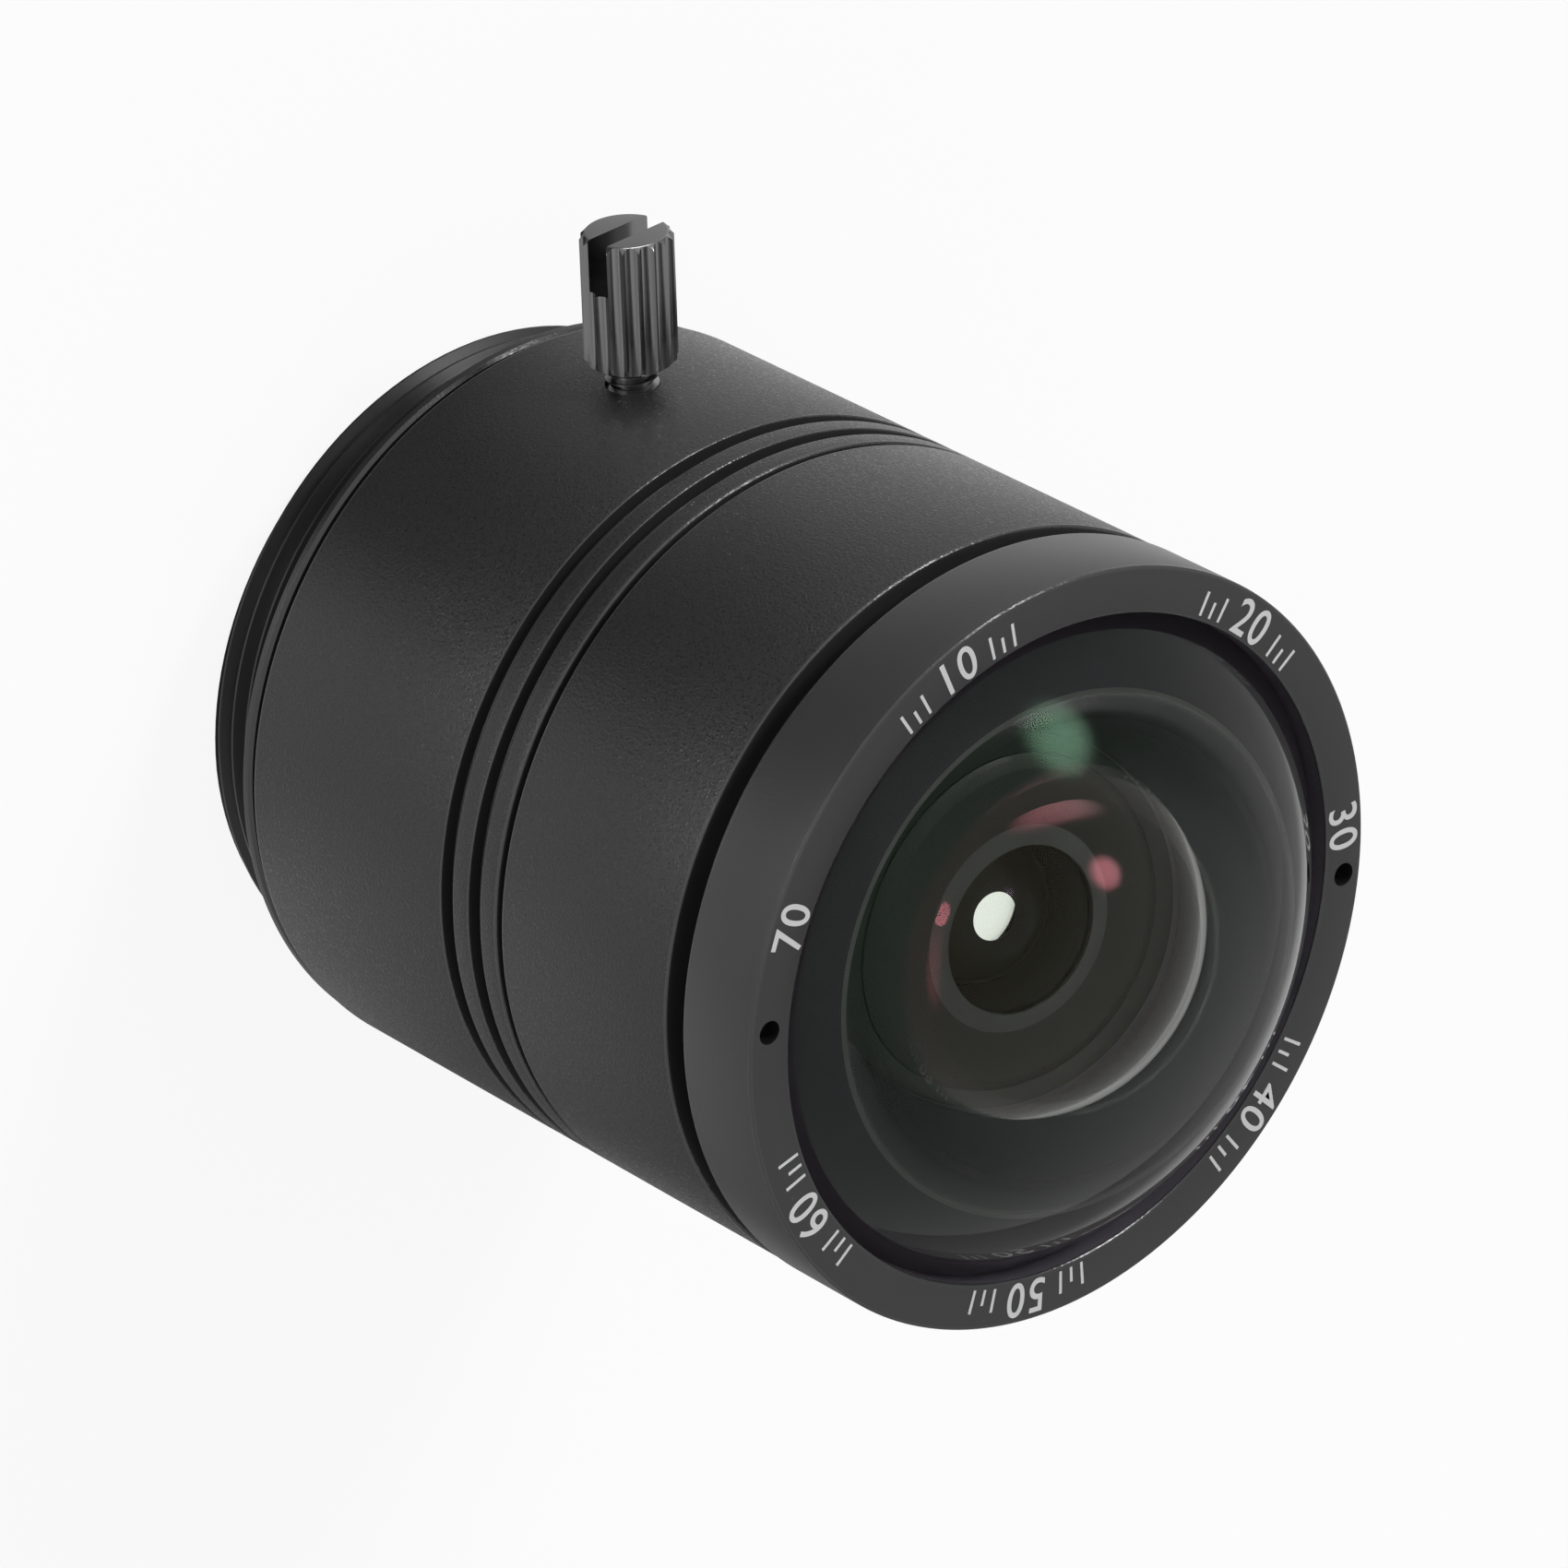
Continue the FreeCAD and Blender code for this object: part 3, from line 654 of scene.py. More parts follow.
    def piece(self, name: str, shape: Shape, looks: Sequence[Coat], slot: str, *nodes: str,
              choose: Callable[[Face], int] | None = None) -> None:
        """Makes a piece at the origin and hangs it on the assembly's body.

        Args:
            name: the piece's name.
            shape: its mesh, which is freed.
            looks: its materials.
            slot: the record's material slot.
            nodes: the CAD nodes that it replaces.
            choose: gives each face the number of its material.
        """
        for face in shape.faces:
            face.smooth = True
            face.material_index = choose(face) if choose else 0
        for edge in shape.edges:
            edge.smooth = len(edge.link_faces) == 2 and edge.calc_face_angle(0.0) < SHARP
        data = to_data(name, shape)
        for finish in looks:
            data.materials.append(finish)
        settle(link(name, data), self.body, slot, *nodes)


@dataclass
class Mount(Assembly):
    """Rear half of the barrel: threaded mount ring and housing with two grip grooves."""

    body: str = "mount"
    outside: float = BARREL
    bore: float = 12.4
    thread: float = 12.7
    pitch: float = 25.4 / 32
    root: float = 12.22
    thread_steps: int = 120
    lead_in: float = 0.25
    relief: float = 11.9
    mount_bore: float = 10.6
    end: float = -3.8
    undercut: float = -0.6
    lip: float = 14.05
    lip_front: float = 0.4
    seam: float = 13.6
    spigot_front: float = 2.33
    rear: float = 0.73
    front: float = 14.78
    groove_depth: float = 0.55
    grooves: tuple[tuple[float, float], ...] = ((11.67, 12.32), (13.22, 13.87))
    screw_hole: float = 1.0
    drill_reach: tuple[float, float] = (11.0, 15.0)

    def build(self) -> None:
        """Builds both pieces and their thread."""
        self.mount_ring()
        self.housing()

    def mount_ring(self) -> None:
        """Mount ring with a wound camera thread behind its seating lip."""
        end, cut = self.end, self.undercut
        ring = self.turned([
            Corner(self.mount_bore, end, 0.15), Corner(self.root - 0.1, end, 0.15), Corner(self.root, end + 0.2),
            Corner(self.root, cut, 0.06), Corner(self.relief, cut + 0.08), Corner(self.relief, 0.0),
            Corner(self.lip, 0.0, 0.05), Corner(self.lip, self.lip_front, 0.33),
            Corner(self.seam, self.lip_front, 0.03), Corner(self.seam, self.rear), Corner(self.bore, self.rear),
            Corner(self.bore, self.spigot_front), Corner(self.mount_bore, self.spigot_front, 0.1),
        ])
        looks = [self.palette.thread, self.palette.lip, self.palette.shaded_recess]
        self.piece("mount_body", ring, looks, "black_anodised", "mount_ring", choose=self.ring_tone)
        wound = self.ridge(self.thread, self.root, self.pitch, end, cut - 0.02, self.thread_steps)
        for point in wound.verts:
            reach = math.hypot(point.co.x, point.co.y)
            limit = (self.thread - self.lead_in + max(0.0, point.co.z / MM - end)) * MM
            if reach > limit:
                point.co.x *= limit / reach
                point.co.y *= limit / reach
        self.piece("camera_thread", wound, [self.palette.thread], "black_anodised")

    def ring_tone(self, face: Face) -> int:
        """Picks the material of a face of the mount ring.

        Args:
            face: the face.

        Returns:
            2 for the seam and undercut, which take the painted shade, 1 for the lip's worn rim and 0 for the rest.
        """
        reach, height = whereabouts(face)
        if reach > self.lip - 0.3:
            return int(abs(face.normal.z) < WORN_SLOPES[1])
        return 2 if height > self.undercut else 0

    def housing(self) -> None:
        """Rear barrel wall with its grip grooves and the hole of the thumb screw."""
        out, deep = self.outside, self.outside - self.groove_depth
        corners = [Corner(self.bore, self.front, 0.1), Corner(self.bore, self.rear), Corner(out, self.rear, 0.16)]
        for low, high in self.grooves:
            corners += [
                Corner(out, low, 0.07), Corner(deep, low, 0.04), Corner(deep, high, 0.04), Corner(out, high, 0.07),
            ]
        corners += [Corner(out, self.front, 0.12)]
        low, high = self.drill_reach
        drill = self.turned([
            Corner(0, low), Corner(self.screw_hole, low), Corner(self.screw_hole, high), Corner(0, high),
        ], closed=False, around=48)
        turn = Matrix.Translation((0, 0, SCREW_HEIGHT * MM)) @ Matrix.Rotation(math.pi / 2, 4, "Y")
        bmesh.ops.transform(drill, matrix=turn, verts=drill.verts[:])
        wall = self.combine(self.turned(corners), drill, "DIFFERENCE")
        self.piece("housing_wall", wall, self.palette.walls, "black_anodised", "mount_housing", choose=self.wall_tone)

    def wall_tone(self, face: Face) -> int:
        """Picks the material of a face of the housing.

        Args:
            face: the face.

        Returns:
            2 for the grooves, which take the painted shade, 1 for worn corners and 0 for the wall.
        """
        reach, height = whereabouts(face)
        sunk = self.bore + 0.1 < reach < self.outside - 0.2
        return 2 if sunk and height > self.grooves[0][0] - 0.3 else worn(face)


@dataclass
class FrontBarrel(Assembly):
    """Focusing half: gripped wall, neck, front ring with its marks and the front element."""

    body: str = "focus_ring"
    outside: float = BARREL
    neck: float = 13.2
    seat: float = 12.35
    bore: float = 10.8
    rear: float = 15.06
    seat_front: float = 19.06
    front: float = 24.17
    dome_seat: float = 26.5
    glass_foot: float = 26.515
    ring_outside: float = 14.21
    ring_rear: float = 25.12
    ring_face: float = 28.757
    opening: float = 12.46
    lip_rear: float = 27.907
    pocket: float = 12.75
    dome_edge: float = 12.7
    shoulder: float = 27.53
    dome_top: float = 34.3
    dome_curve: float = 15.297
    bowl_top: float = 32.17
    bowl_curve: float = 8.2
    rim_outside: float = 8.0
    hole_reach: float = 13.38
    hole_radius: float = 0.44
    hole_depth: float = 0.7
    hole_turn: float = 82.6
    mark_reach: float = 13.28
    mark_height: float = 1.36
    digit_share: float = 0.72
    digit_width: float = 0.92
    paint_depth: float = 0.004
    marks: tuple[tuple[str, float, bool], ...] = (
        ("10", 19.85, True), ("20", -42.65, True), ("30", -89.15, False), ("40", -136.55, True),
        ("50", 171.1, True), ("60", 116.95, True), ("70", 66.3, False),
    )
    ticks: tuple[tuple[float, float], ...] = ((7.0, 0.45), (9.2, 0.3), (11.4, 0.45))
    tick_width: float = 0.12
    tick_foot: float = 0.6

    def build(self) -> None:
        """Builds every piece of the focusing half."""
        self.wall()
        self.ring()
        self.element()
        for text, turn, ticked in self.marks:
            self.print_number(text, turn)
            if ticked:
                self.print_ticks(text, turn)

    def wall(self) -> None:
        """Front barrel with its neck."""
        shape = self.turned([
            Corner(self.seat, self.rear, 0.05), Corner(self.outside, self.rear, 0.12),
            Corner(self.outside, self.front, 0.12), Corner(self.neck, self.front, 0.04),
            Corner(self.neck, self.dome_seat), Corner(self.bore, self.dome_seat),
            Corner(self.bore, self.seat_front), Corner(self.seat, self.seat_front),
        ])
        self.piece("front_wall", shape, self.palette.walls, "black_anodised", "front_barrel", choose=self.wall_tone)

    def wall_tone(self, face: Face) -> int:
        """Gives 2, the painted shade, to the neck and inside, 1 to worn corners and 0 to the gripped wall."""
        return 2 if whereabouts(face)[0] < self.outside - 0.3 else worn(face)

    def ring(self) -> None:
        """Screwed front ring with two spanner holes."""
        shape = self.turned([
            Corner(self.neck, self.ring_rear, 0.05), Corner(self.ring_outside, self.ring_rear, 0.12),
            Corner(self.ring_outside, self.ring_face, 0.13), Corner(self.opening, self.ring_face, 0.1),
            Corner(self.opening, self.lip_rear), Corner(self.pocket, self.lip_rear),
            Corner(self.pocket, self.dome_seat), Corner(self.neck, self.dome_seat),
        ])
        low, high = self.ring_face - self.hole_depth, self.ring_face + 0.3
        for turn in (self.hole_turn, self.hole_turn + 180):
            drill = self.turned([
                Corner(0, low), Corner(self.hole_radius, low), Corner(self.hole_radius, high), Corner(0, high),
            ], closed=False, around=40)
            reach = self.hole_reach * MM
            place = (reach * math.cos(math.radians(turn)), reach * math.sin(math.radians(turn)), 0)
            bmesh.ops.translate(drill, vec=place, verts=drill.verts[:])
            shape = self.combine(shape, drill, "DIFFERENCE")
        looks = [self.palette.ring, self.palette.edge, self.palette.pocket, self.palette.shaded_recess]
        self.piece("front_ring_shell", shape, looks, "black_anodised", "front_ring", choose=self.ring_tone)

    def ring_tone(self, face: Face) -> int:
        """Picks the material of a face of the front ring.

        Args:
            face: the face.

        Returns:
            3 for the spanner holes, which take the painted shade, 2 for the opening's wall and pocket, which take the
            painted light, 1 for worn corners and 0 for the rest.
        """
        reach, height = whereabouts(face)
        if reach < self.pocket + 0.05 and height < self.ring_face - 0.1:
            return 2
        inside = reach < self.ring_outside - 0.1 and self.ring_rear + 0.1 < height < self.ring_face - 0.14
        return 3 if inside else worn(face)

    def element(self) -> None:
        """Front dome of glass over its deep bowl, with a blackened edge and a ground rim around the bowl."""
        middle = self.bowl_top - self.bowl_curve
        bowl_rim = math.sqrt(self.bowl_curve ** 2 - (self.glass_foot - middle) ** 2)
        shape = self.turned([
            Corner(0, self.bowl_top, bend=middle), Corner(bowl_rim, self.glass_foot),
            Corner(self.rim_outside, self.glass_foot), Corner(self.dome_edge, self.glass_foot),
            Corner(self.dome_edge, self.shoulder, bend=self.dome_top - self.dome_curve), Corner(0, self.dome_top),
        ], closed=False, around=256)
        looks = [self.palette.dome, self.palette.bowl, self.palette.ground, self.palette.rim]
        self.piece("front_dome", shape, looks, "optical_glass", "front_element", choose=self.glass_face)

    def glass_face(self, face: Face) -> int:
        """Picks the material of a face of the front element.

        Args:
            face: the face.

        Returns:
            0 for the dome, 1 for the bowl, 2 for the blackened edge and 3 for the ground rim.
        """
        reach, height = whereabouts(face)
        if abs(face.normal.z) > 0.999 and height < self.glass_foot + 0.01:
            return 3 if reach < self.rim_outside else 2
        if reach > self.dome_edge - 0.05 and height < self.shoulder:
            return 2
        return 0 if face.normal.z > 0 else 1

    def print_number(self, text: str, turn: float) -> None:
        """Prints one number.

        Args:
            text: the digits.
            turn: its angle from +X, in degrees.
        """
        letters = bpy.data.curves.new("mark_text", "FONT")
        letters.body = text
        letters.size = self.mark_height / self.digit_share
        letters.space_character = 1.12
        letters.align_x = "CENTER"
        letters.offset = 0.014
        letters.extrude = self.paint_depth
        letters.resolution_u = 6
        holder = link("mark_text", letters)
        bpy.context.view_layer.update()
        data = bpy.data.meshes.new_from_object(holder)
        bpy.data.objects.remove(holder)
        low = min(v.co.y for v in data.vertices)
        high = max(v.co.y for v in data.vertices)
        for point in data.vertices:
            point.co.y -= (low + high) / 2
            point.co.x *= self.digit_width
        self.mark(data, f"number_{text}", turn)

    def print_ticks(self, text: str, turn: float) -> None:
        """Prints the ticks on both sides of a number.

        Args:
            text: the number they stand beside.
            turn: the number's angle from +X, in degrees.
        """
        shape = bmesh.new()
        for side in (-1, 1):
            for offset, tall in self.ticks:
                across = side * math.radians(offset) * self.mark_reach
                made = bmesh.ops.create_cube(shape, size=1.0)["verts"]
                bmesh.ops.scale(shape, vec=(self.tick_width, tall * 2, self.paint_depth * 2), verts=made)
                bmesh.ops.translate(shape, vec=(across, tall - self.tick_foot, 0), verts=made)
        self.mark(to_data("ticks", shape), f"ticks_{text}", turn)

    def mark(self, data: bpy.types.Mesh, name: str, turn: float) -> None:
        """Wraps a flat mark around the ring's face with its top outwards, paints it and hangs it on the ring.

        Args:
            data: the mark's mesh, drawn about the origin in millimetres.
            name: its name.
            turn: the angle of its middle from +X, in degrees.
        """
        for point in data.vertices:
            angle = math.radians(turn) - point.co.x / self.mark_reach
            reach = (self.mark_reach + point.co.y) * MM
            height = (self.ring_face + self.paint_depth + point.co.z) * MM
            point.co = (reach * math.cos(angle), reach * math.sin(angle), height)
        data.name = name
        data.materials.clear()
        data.materials.append(self.palette.paint)
        settle(link(name, data), self.body, "black_anodised")


@dataclass
class Optics(Assembly):
    """Lens cell with the retaining rings, spacers and glass that show through the front dome."""

    body: str = "optics"
    cell: float = 10.74
    front_bore: float = 6.44
    rear_bore: float = 5.84
    front_thread: float = 7.19
    rear_thread: float = 6.34
    nose: float = 8.62
    shoulder: float = 5.02
    cell_rear: float = 2.028
    nose_front: float = 6.528
    cell_front: float = 26.2
    cone_flare: float = 1.13
    cone_rear: float = 25.49
    cone_inset: float = 0.57
    thread_play: float = 0.03
    window_rear: float = 24.59
    window: float = 3.62
    land_width: float = 0.8
    land_height: float = 0.2
    shelf: tuple[float, float] = (13.613, 14.913)
    thread_front: float = 3.778
    stop_rear: float = 21.158
    stop_front: float = 21.358
    stop_hole: float = 1.35
    stop_slope: float = 0.16
    stop_edge: float = 0.04
    hollow_rim: float = 4.42
    pair_rim: float = 4.92
    pair_front: float = 20.088
    cement_gap: float = 0.01
    front_glass: float = 6.42
    rear_glass: float = 5.82
    glass_edge: float = 4.3
    edge_slopes: tuple[float, float] = (0.02, 0.9999)

    def build(self) -> None:
        """Builds the cell, its rings and the glass."""
        self.cell_tube()
        self.rings()
        self.glass()
        for name in ("spacer_2", "spacer_3", "rear_retaining_ring"):
            dress_node(name, self.palette.inner)

    def cell_tube(self) -> None:
        """Stepped tube around the elements."""
        shape = self.turned([
            Corner(self.rear_thread, self.cell_rear, 0.08), Corner(self.nose, self.cell_rear, 0.2),
            Corner(self.nose, self.nose_front), Corner(self.cell, self.nose_front),
            Corner(self.cell, self.cell_front, 0.08),
            Corner(self.front_thread + self.cone_flare, self.cell_front, 0.05),
            Corner(self.front_thread, self.cone_rear), Corner(self.front_thread, self.window_rear),
            Corner(self.front_bore, self.window_rear), Corner(self.front_bore, self.shelf[1]),
            Corner(self.shoulder, self.shelf[1]), Corner(self.shoulder, self.shelf[0]),
            Corner(self.rear_bore, self.shelf[0]), Corner(self.rear_bore, self.thread_front),
            Corner(self.rear_thread, self.thread_front),
        ])
        self.piece("cell_tube", shape, [self.palette.inner], "inner_black", "lens_cell")

    def rings(self) -> None:
        """Front retaining ring with its shallow cone and pale land, the spacer and the aperture stop."""
        outside, land = self.front_thread - self.thread_play, self.window_rear + self.land_height
        shape = self.turned([
            Corner(self.window, self.window_rear), Corner(outside, self.window_rear),
            Corner(outside, self.cone_rear, 0.04), Corner(self.front_thread - self.cone_inset, self.cone_rear, 0.04),
            Corner(self.window + self.land_width, land, 0.03), Corner(self.window, land, 0.03),
        ])
        looks = [self.palette.inner, self.palette.land]
        self.piece("cell_cone", shape, looks, "inner_black", "cell_front_ring", choose=self.land_face)
        shape = self.turned([
            Corner(self.pair_rim, self.pair_front), Corner(self.front_glass, self.pair_front),
            Corner(self.front_glass, self.stop_rear), Corner(self.hollow_rim, self.stop_rear),
        ])
        self.piece("front_spacer", shape, [self.palette.inner], "inner_black", "spacer_1")
        shape = self.turned([
            Corner(self.stop_hole + self.stop_slope, self.stop_rear), Corner(self.front_glass, self.stop_rear),
            Corner(self.front_glass, self.stop_front), Corner(self.stop_hole, self.stop_front),
            Corner(self.stop_hole, self.stop_front - self.stop_edge),
        ])
        self.piece("stop_plate", shape, [self.palette.inner], "inner_black", "aperture_stop")

    def land_face(self, face: Face) -> int:
        """Gives 1 to the flat land around the clear opening, and 0 to the rest."""
        return int(face.normal.z > 0.5 and whereabouts(face)[0] < self.window + self.land_width + 0.03)

    def glass(self) -> None:
        """The elements, with a hair of air in the front pair's cemented face, because two glasses can't share one."""
        one, front, rear, gap = self.palette, self.front_glass, self.rear_glass, self.cement_gap
        self.lens("second_lens", (
            Corner(0, 23.788, bend=18.553), Corner(self.hollow_rim, self.stop_front), Corner(front, self.stop_front),
            Corner(front, 23.937, bend=2.720), Corner(0, 24.888),
        ), (one.first, one.second), "element_2")
        self.lens("third_lens", (
            Corner(0, 18.108 + gap, bend=6.043 + gap), Corner(front, 16.258 + gap), Corner(front, self.pair_front),
            Corner(self.pair_rim, self.pair_front, bend=33.402), Corner(0, 19.208),
        ), (one.crown, one.crown), "element_3")
        self.lens("fourth_lens", (
            Corner(0, 14.108, bend=30.157), Corner(front, 15.448), Corner(front, 16.258, bend=6.043),
            Corner(0, 18.108),
        ), (one.flint, one.flint), "element_4")
        self.lens("middle_lens", (
            Corner(0, 9.120, bend=21.161), Corner(rear, 10.620), Corner(rear, 11.420, bend=0.879), Corner(0, 12.920),
        ), (one.flint, one.flint), "element_5")
        self.lens("rear_pair", (
            Corner(0, 2.927, bend=16.998), Corner(rear, 4.187), Corner(rear, 8.927), Corner(4.82, 8.927, bend=20.043),
            Corner(0, 7.927),
        ), (one.rear, one.rear), "element_6", "element_7")

    def lens(self, name: str, corners: Sequence[Corner], coats: tuple[Coat, Coat], *nodes: str) -> None:
        """Builds one piece of glass.

        Args:
            name: its name.
            corners: its outline, from the rear vertex round to the front one.
            coats: the glass of its front and rear face.
            nodes: the CAD nodes that it stands for.
        """
        looks = [*coats, self.palette.ground]
        shape = self.turned(corners, closed=False)
        self.piece(name, shape, looks, "optical_glass", *nodes, choose=self.lens_face)

    def lens_face(self, face: Face) -> int:
        """Picks the material of a face of an inner glass.

        Args:
            face: the face.

        Returns:
            2 for the blackened edge, 1 for the rear face and 0 for the front one.
        """
        upright, level = self.edge_slopes
        if not upright <= abs(face.normal.z) <= level and whereabouts(face)[0] > self.glass_edge:
            return 2
        return 0 if face.normal.z > 0 else 1


@dataclass
class ThumbScrew(Assembly):
    """Fluted thumb screw with a deep driver slot and a threaded neck, and the soft pad before it."""

    body: str = "lock_screw"
    turn: float = 6.0
    tip: float = 13.22
    foot: float = 14.85
    start: float = 15.2
    top: float = 20.1
    head: float = 1.7
    foot_radius: float = 1.2
    cut: float = 0.22
    flutes: int = 18
    flute_radius: float = 0.32
    flute_depth: float = 0.2
    slot_width: float = 0.9
    slot_depth: float = 2.0
    crest: float = 0.98
    root: float = 0.80
    pitch: float = 0.4
    spare: float = 0.3

    def build(self) -> None:
        """Builds the head and its neck, and dresses the pad."""
        self.fluted_head()
        self.neck()
        dress_node("lock_pad", self.palette.nylon)

    def lay(self, shape: Shape) -> Shape:
        """Lays a shape into the screw's place.

        Args:
            shape: the shape, which was made along Z.

        Returns:
            The same shape.
        """
        place = Matrix.Translation((0, 0, SCREW_HEIGHT * MM))
        place = place @ Matrix.Rotation(math.radians(self.turn), 4, "X") @ Matrix.Rotation(math.pi / 2, 4, "Y")
        bmesh.ops.transform(shape, matrix=place, verts=shape.verts[:])
        return shape

    def flute_reach(self, angle: float) -> float:
        """Radius of the fluted head at an angle.

        Args:
            angle: the angle about the screw's axis, in radians.

        Returns:
            The radius in millimetres.
        """
        step = math.tau / self.flutes
        off = (angle + step / 2) % step - step / 2
        middle = self.head + self.flute_radius - self.flute_depth
        inside = self.flute_radius ** 2 - (middle * math.sin(off)) ** 2
        if inside <= 0:
            return self.head
        return min(self.head, middle * math.cos(off) - math.sqrt(inside))

    def prism(self) -> Shape:
        """Raises the head's fluted section.

        Returns:
            A prism that stands past both ends of the head.
        """
        shape = bmesh.new()
        bmesh.ops.create_circle(shape, cap_ends=True, radius=self.head * MM, segments=self.flutes * 12)
        for point in shape.verts:
            reach = self.flute_reach(math.atan2(point.co.y, point.co.x)) * MM
            point.co.xy = point.co.xy.normalized() * reach
        bmesh.ops.translate(shape, vec=(0, 0, (self.foot - self.spare) * MM), verts=shape.verts[:])
        raised = bmesh.ops.extrude_face_region(shape, geom=shape.faces[:])
        lifted = [v for v in raised["geom"] if isinstance(v, bmesh.types.BMVert)]
        bmesh.ops.translate(shape, vec=(0, 0, (self.top - self.foot + 2 * self.spare) * MM), verts=lifted)
        bmesh.ops.recalc_face_normals(shape, faces=shape.faces[:])
        return shape

    def fluted_head(self) -> None:
        """Head with flutes all round, a chamfer at its top and the driver slot across it."""
        limit = self.turned([
            Corner(0, self.foot), Corner(self.foot_radius, self.foot, 0.05),
            Corner(self.head + 0.004, self.start, 0.1), Corner(self.head + 0.004, self.top - self.cut, 0.03),
            Corner(self.head - self.cut, self.top, 0.04), Corner(0, self.top),
        ], closed=False, around=144)
        shape = self.combine(self.prism(), limit, "INTERSECT")
        slot = bmesh.new()
        bmesh.ops.create_cube(slot, size=1.0)
        middle = self.top + (1 - self.slot_depth) / 2
        bmesh.ops.scale(slot, vec=(self.slot_width * MM, 6 * MM, (self.slot_depth + 1) * MM), verts=slot.verts[:])
        bmesh.ops.translate(slot, vec=(0, 0, middle * MM), verts=slot.verts[:])
        shape = self.lay(self.combine(shape, slot, "DIFFERENCE"))
        self.piece("screw_head", shape, [self.palette.nickel], "black_nickel", "lock_screw")

    def neck(self) -> None:
        """Threaded neck between the head and the pad."""
        end = self.foot + 0.1
        core = self.turned([
            Corner(0, self.tip), Corner(self.root, self.tip, 0.08), Corner(self.root, end), Corner(0, end),
        ], closed=False, around=48)
        self.piece("screw_core", self.lay(core), [self.palette.nickel], "black_nickel")
        wound = self.ridge(self.crest, self.root, self.pitch, self.tip + 0.1, self.foot, 48)
        self.piece("screw_thread", self.lay(wound), [self.palette.nickel], "black_nickel")


@dataclass(frozen=True)
class SoftLamp:
    """A far soft box: its direction and half widths in degrees, and its power."""

    around: float
    above: float
    wide: float
    tall: float
    power: float


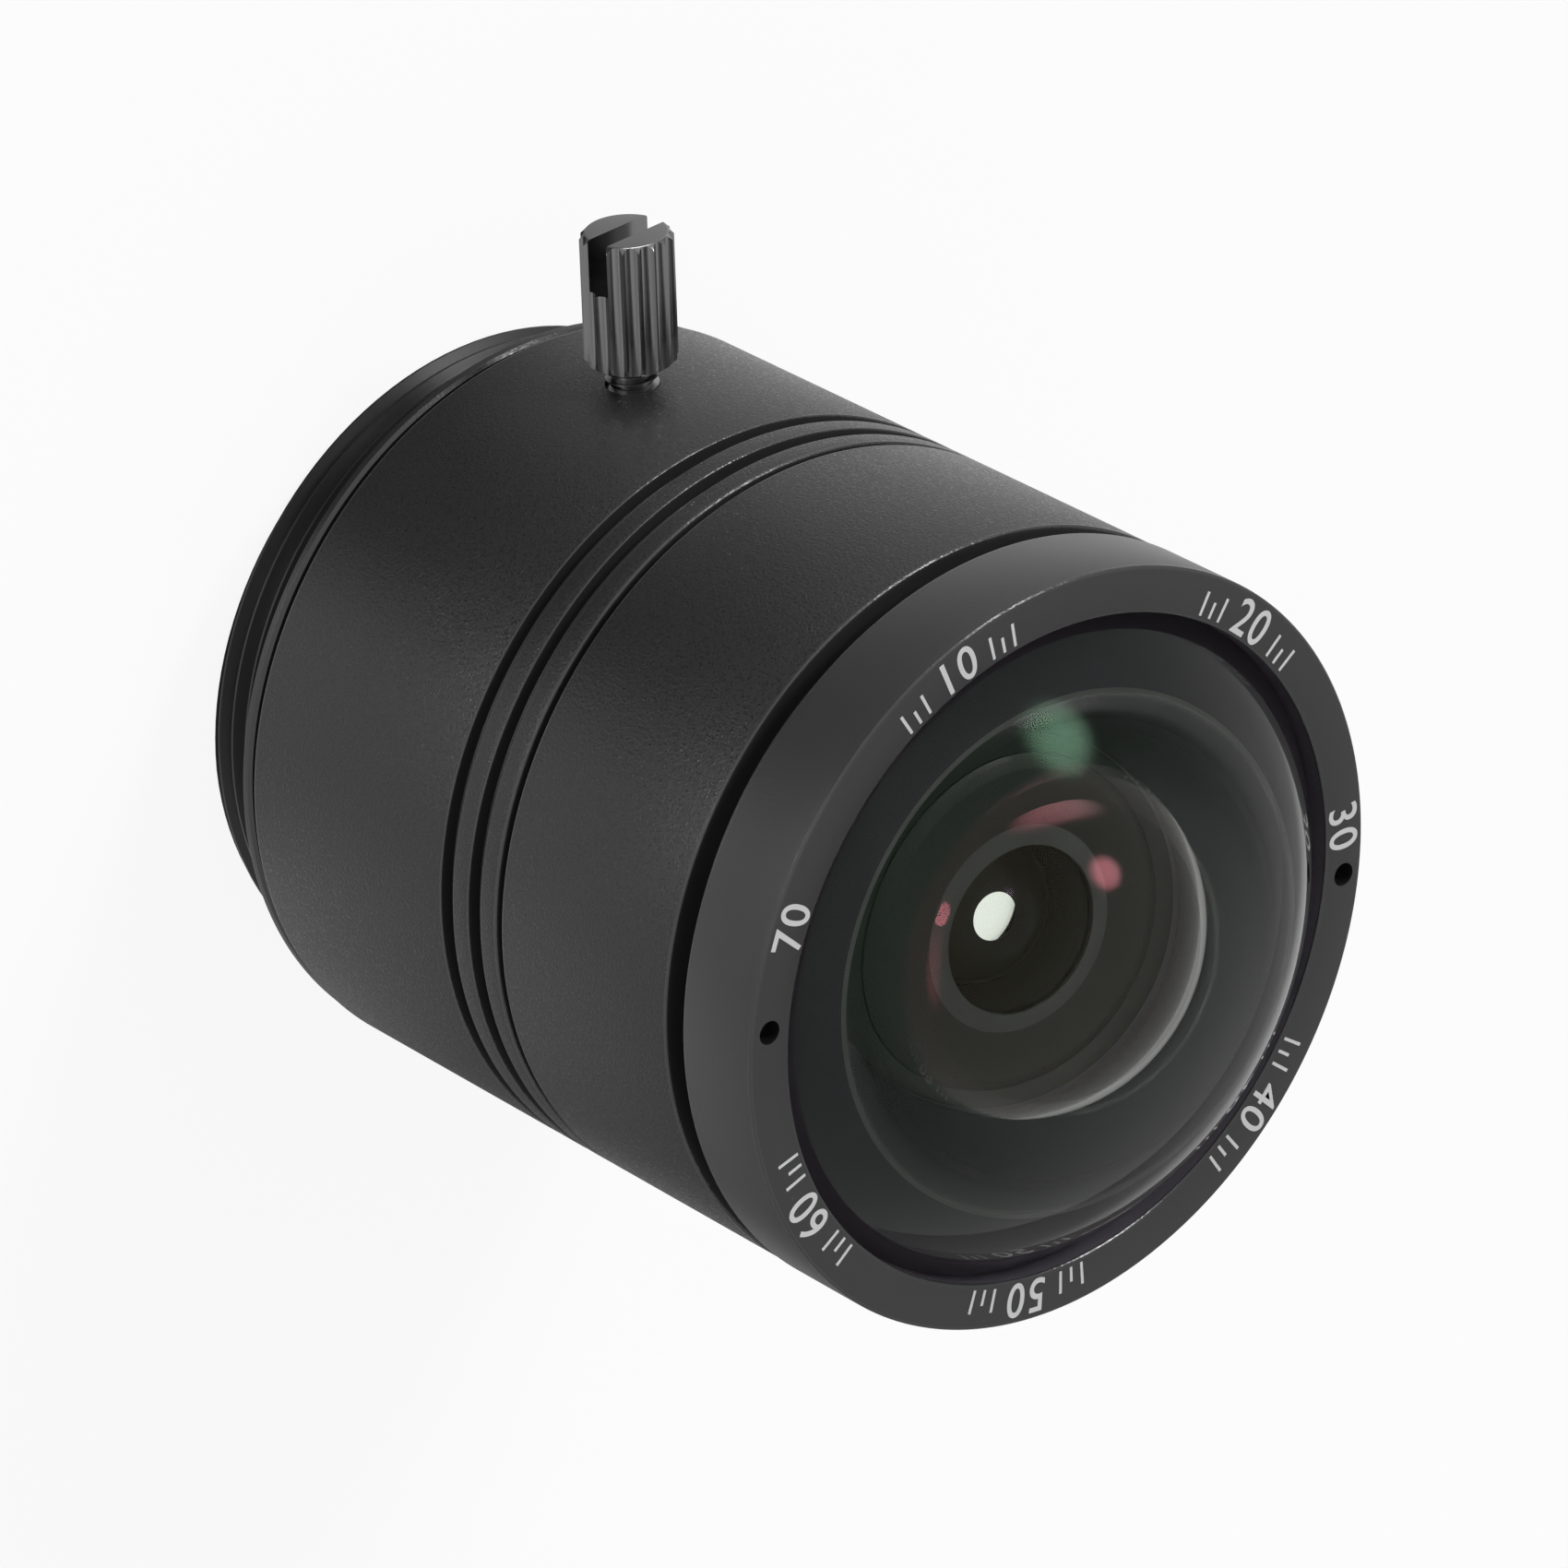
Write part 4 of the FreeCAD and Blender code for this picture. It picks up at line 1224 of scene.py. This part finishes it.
@dataclass
class Studio:
    """Pale floor, soft light and the camera at the photograph's angle.

    even, horizon, overhead and through are the brightness of the surroundings for matt faces, for reflections from
    the side and from above, and through glass. in_glass dims the lamps in mirrors and glass. A fade holds the radii
    in millimetres between which the floor darkens in reflections (gloss_fade) and through glass (glass_fade), and the
    tone that is left. These fades and the floor's tones by direction are painted reflection: the camera sees the
    floor evenly white.
    """

    effects: Effects
    floor_height: float = -3.8
    lens: float = 234.98
    place: Triple = (0.16820, 0.20570, 0.26730)
    right: Triple = (-0.03031, -0.76649, 0.64154)
    up: Triple = (0.88953, -0.31341, -0.33243)
    back: Triple = (0.45586, 0.56059, 0.69132)
    share: float = 0.9
    even: float = 0.46
    horizon: float = 0.45
    overhead: float = 0.80
    through: float = 0.22
    in_glass: float = 0.42
    # Painted reflection: the floor dims with distance in reflections and through glass.
    gloss_fade: Triple = (80.0, 160.0, 0.4)
    glass_fade: Triple = (13.0, 20.0, 0.25)
    lamps: tuple[SoftLamp, ...] = (
        SoftLamp(-31.0, 41.0, 15.0, 11.0, 28.0),
        SoftLamp(61.0, 2.0, 6.0, 4.5, 150.0),
        SoftLamp(86.0, 3.0, 24.0, 6.0, 4.0),
        SoftLamp(-12.0, 4.0, 26.0, 10.0, 11.0),
    )
    # Painted reflection: floor tones by direction around the lens, in degrees, seen only in reflections.
    painted_reflection_tones: tuple[tuple[float, float], ...] = (
        (-180, 0.4), (-171, 0.45), (-150, 0.3), (-110, 0.9), (-82, 0.95), (-56, 1.0), (-32, 0.76), (-7, 0.34),
        (17, 0.0), (41, 0.02), (60, 0.7), (90, 0.62), (114, 0.75), (139, 0.5), (164, 0.2), (180, 0.4),
    )

    def build(self) -> None:
        """Sets up floor, surroundings, camera and view."""
        self.floor()
        self.world()
        self.camera()
        bpy.context.scene.view_settings.view_transform = "Standard"

    def floor(self) -> None:
        """Wide white floor that keeps the lens's soft shadow."""
        shape = bmesh.new()
        bmesh.ops.create_grid(shape, x_segments=1, y_segments=1, size=3.0)
        bmesh.ops.translate(shape, vec=(0, 0, self.floor_height * MM), verts=shape.verts[:])
        data = to_data("floor", shape)
        data.materials.append(self.floor_finish())
        item = link("floor", data)

    def floor_finish(self) -> Coat:
        """White paper. In reflections it shows painted tones that change around the lens and fade with distance, a
        painted reflection that lays dark and pale bands on the glossy barrel. Through glass it fades with distance
        too.

        Returns:
            The floor's material.
        """
        made = new_coat("floor_white", {
            "Base Color": (0.86, 0.86, 0.86, 1), "Roughness": 0.9, "Specular IOR Level": 0.1,
        })
        tree = made.node_tree
        path = add(tree, "LightPath").outputs
        place = add(tree, "TexCoord").outputs["Object"]
        # Painted reflection: the floor's tone in reflections changes with the direction around the lens.
        fan = add(tree, "TexGradient", {"Vector": place}, gradient_type="RADIAL")
        painted_reflection_tones = add(tree, "ValToRGB", {"Fac": fan.outputs["Fac"]})
        stops = painted_reflection_tones.color_ramp.elements
        while len(stops) < len(self.painted_reflection_tones):
            stops.new(0.5)
        for stop, (around, tone) in zip(stops, self.painted_reflection_tones):
            stop.position = (around + 180) / 360
            stop.color = (tone, tone, tone, 1)
        mirrored = compute(tree, "MULTIPLY", painted_reflection_tones.outputs["Color"], self.fade_out(tree, *self.gloss_fade))
        tone = blend(tree, path["Is Glossy Ray"], 1.0, mirrored)
        tone = blend(tree, path["Is Transmission Ray"], tone, self.fade_out(tree, *self.glass_fade))
        glow = add(tree, "Emission", {"Strength": tone})
        seen = compute(tree, "MAXIMUM", path["Is Camera Ray"], path["Is Glossy Ray"])
        seen = compute(tree, "MAXIMUM", seen, path["Is Transmission Ray"])
        paper = tree.nodes["Principled BSDF"].outputs[0]
        share = compute(tree, "MULTIPLY", seen, self.share)
        mix = add(tree, "MixShader", {0: share, 1: paper, 2: glow.outputs[0]})
        feed(tree, tree.nodes["Material Output"].inputs["Surface"], mix.outputs[0])
        return made

    def fade_out(self, tree: Tree, start: float, end: float, left: float) -> Socket:
        """The floor's painted tone in reflections and through glass, which falls with the distance from the lens.

        Args:
            tree: the floor's tree.
            start: distance from the axis in millimetres where it starts to fall.
            end: distance where it has fallen.
            left: the tone from there on.

        Returns:
            The tone.
        """
        band = use(tree, self.effects.outward, Start=start * MM, End=end * MM)
        fallen = compute(tree, "MULTIPLY", band.outputs["Factor"], 1.0 - left)
        return compute(tree, "SUBTRACT", 1.0, fallen)

    def world(self) -> None:
        """Pale surroundings, a little brighter overhead, with the soft boxes."""
        made = bpy.data.worlds.new("studio")
        made.use_nodes = True
        tree = made.node_tree
        path = add(tree, "LightPath").outputs
        height = axes(tree, "Generated")["Z"]
        rise = add(tree, "MapRange", {"Value": height, "To Min": self.horizon, "To Max": self.overhead})
        total = blend(tree, path["Is Glossy Ray"], self.even, rise.outputs["Result"])
        total = blend(tree, path["Is Transmission Ray"], total, self.through)
        shown = blend(tree, path["Is Singular Ray"], 1.0, self.in_glass)
        for lamp in self.lamps:
            node = use(
                tree, self.effects.lamp, Around=math.radians(lamp.around), Above=math.radians(lamp.above),
                Wide=math.radians(lamp.wide), Tall=math.radians(lamp.tall), Power=lamp.power,
            )
            total = compute(tree, "MULTIPLY_ADD", node.outputs["Glow"], shown, total)
        total = blend(tree, path["Is Camera Ray"], total, 1.0)
        feed(tree, tree.nodes["Background"].inputs["Strength"], total)
        feed(tree, tree.nodes["Background"].inputs["Color"], (1, 1, 1, 1))
        bpy.context.scene.world = made

    def camera(self) -> None:
        """The camera at the photograph's viewing angle."""
        data = bpy.data.cameras.new("camera")
        data.lens = self.lens
        data.sensor_width = 36.0
        data.clip_start = 0.01
        data.clip_end = 20.0
        item = link("camera", data)
        turn = Matrix((self.right, self.up, self.back)).transposed().to_4x4()
        item.matrix_world = Matrix.Translation(self.place) @ turn
        bpy.context.scene.camera = item


def main() -> None:
    """Builds the lens and its studio."""
    logging.basicConfig(level=logging.INFO, format="%(name)s: %(message)s")
    effects = Effects()
    palette = Palette(effects)
    Studio(effects).build()
    for assembly in (Mount, FrontBarrel, Optics, ThumbScrew):
        assembly(palette).build()
    dress_node("focus_sleeve", palette.inner)


if __name__ == "__main__":
    main()
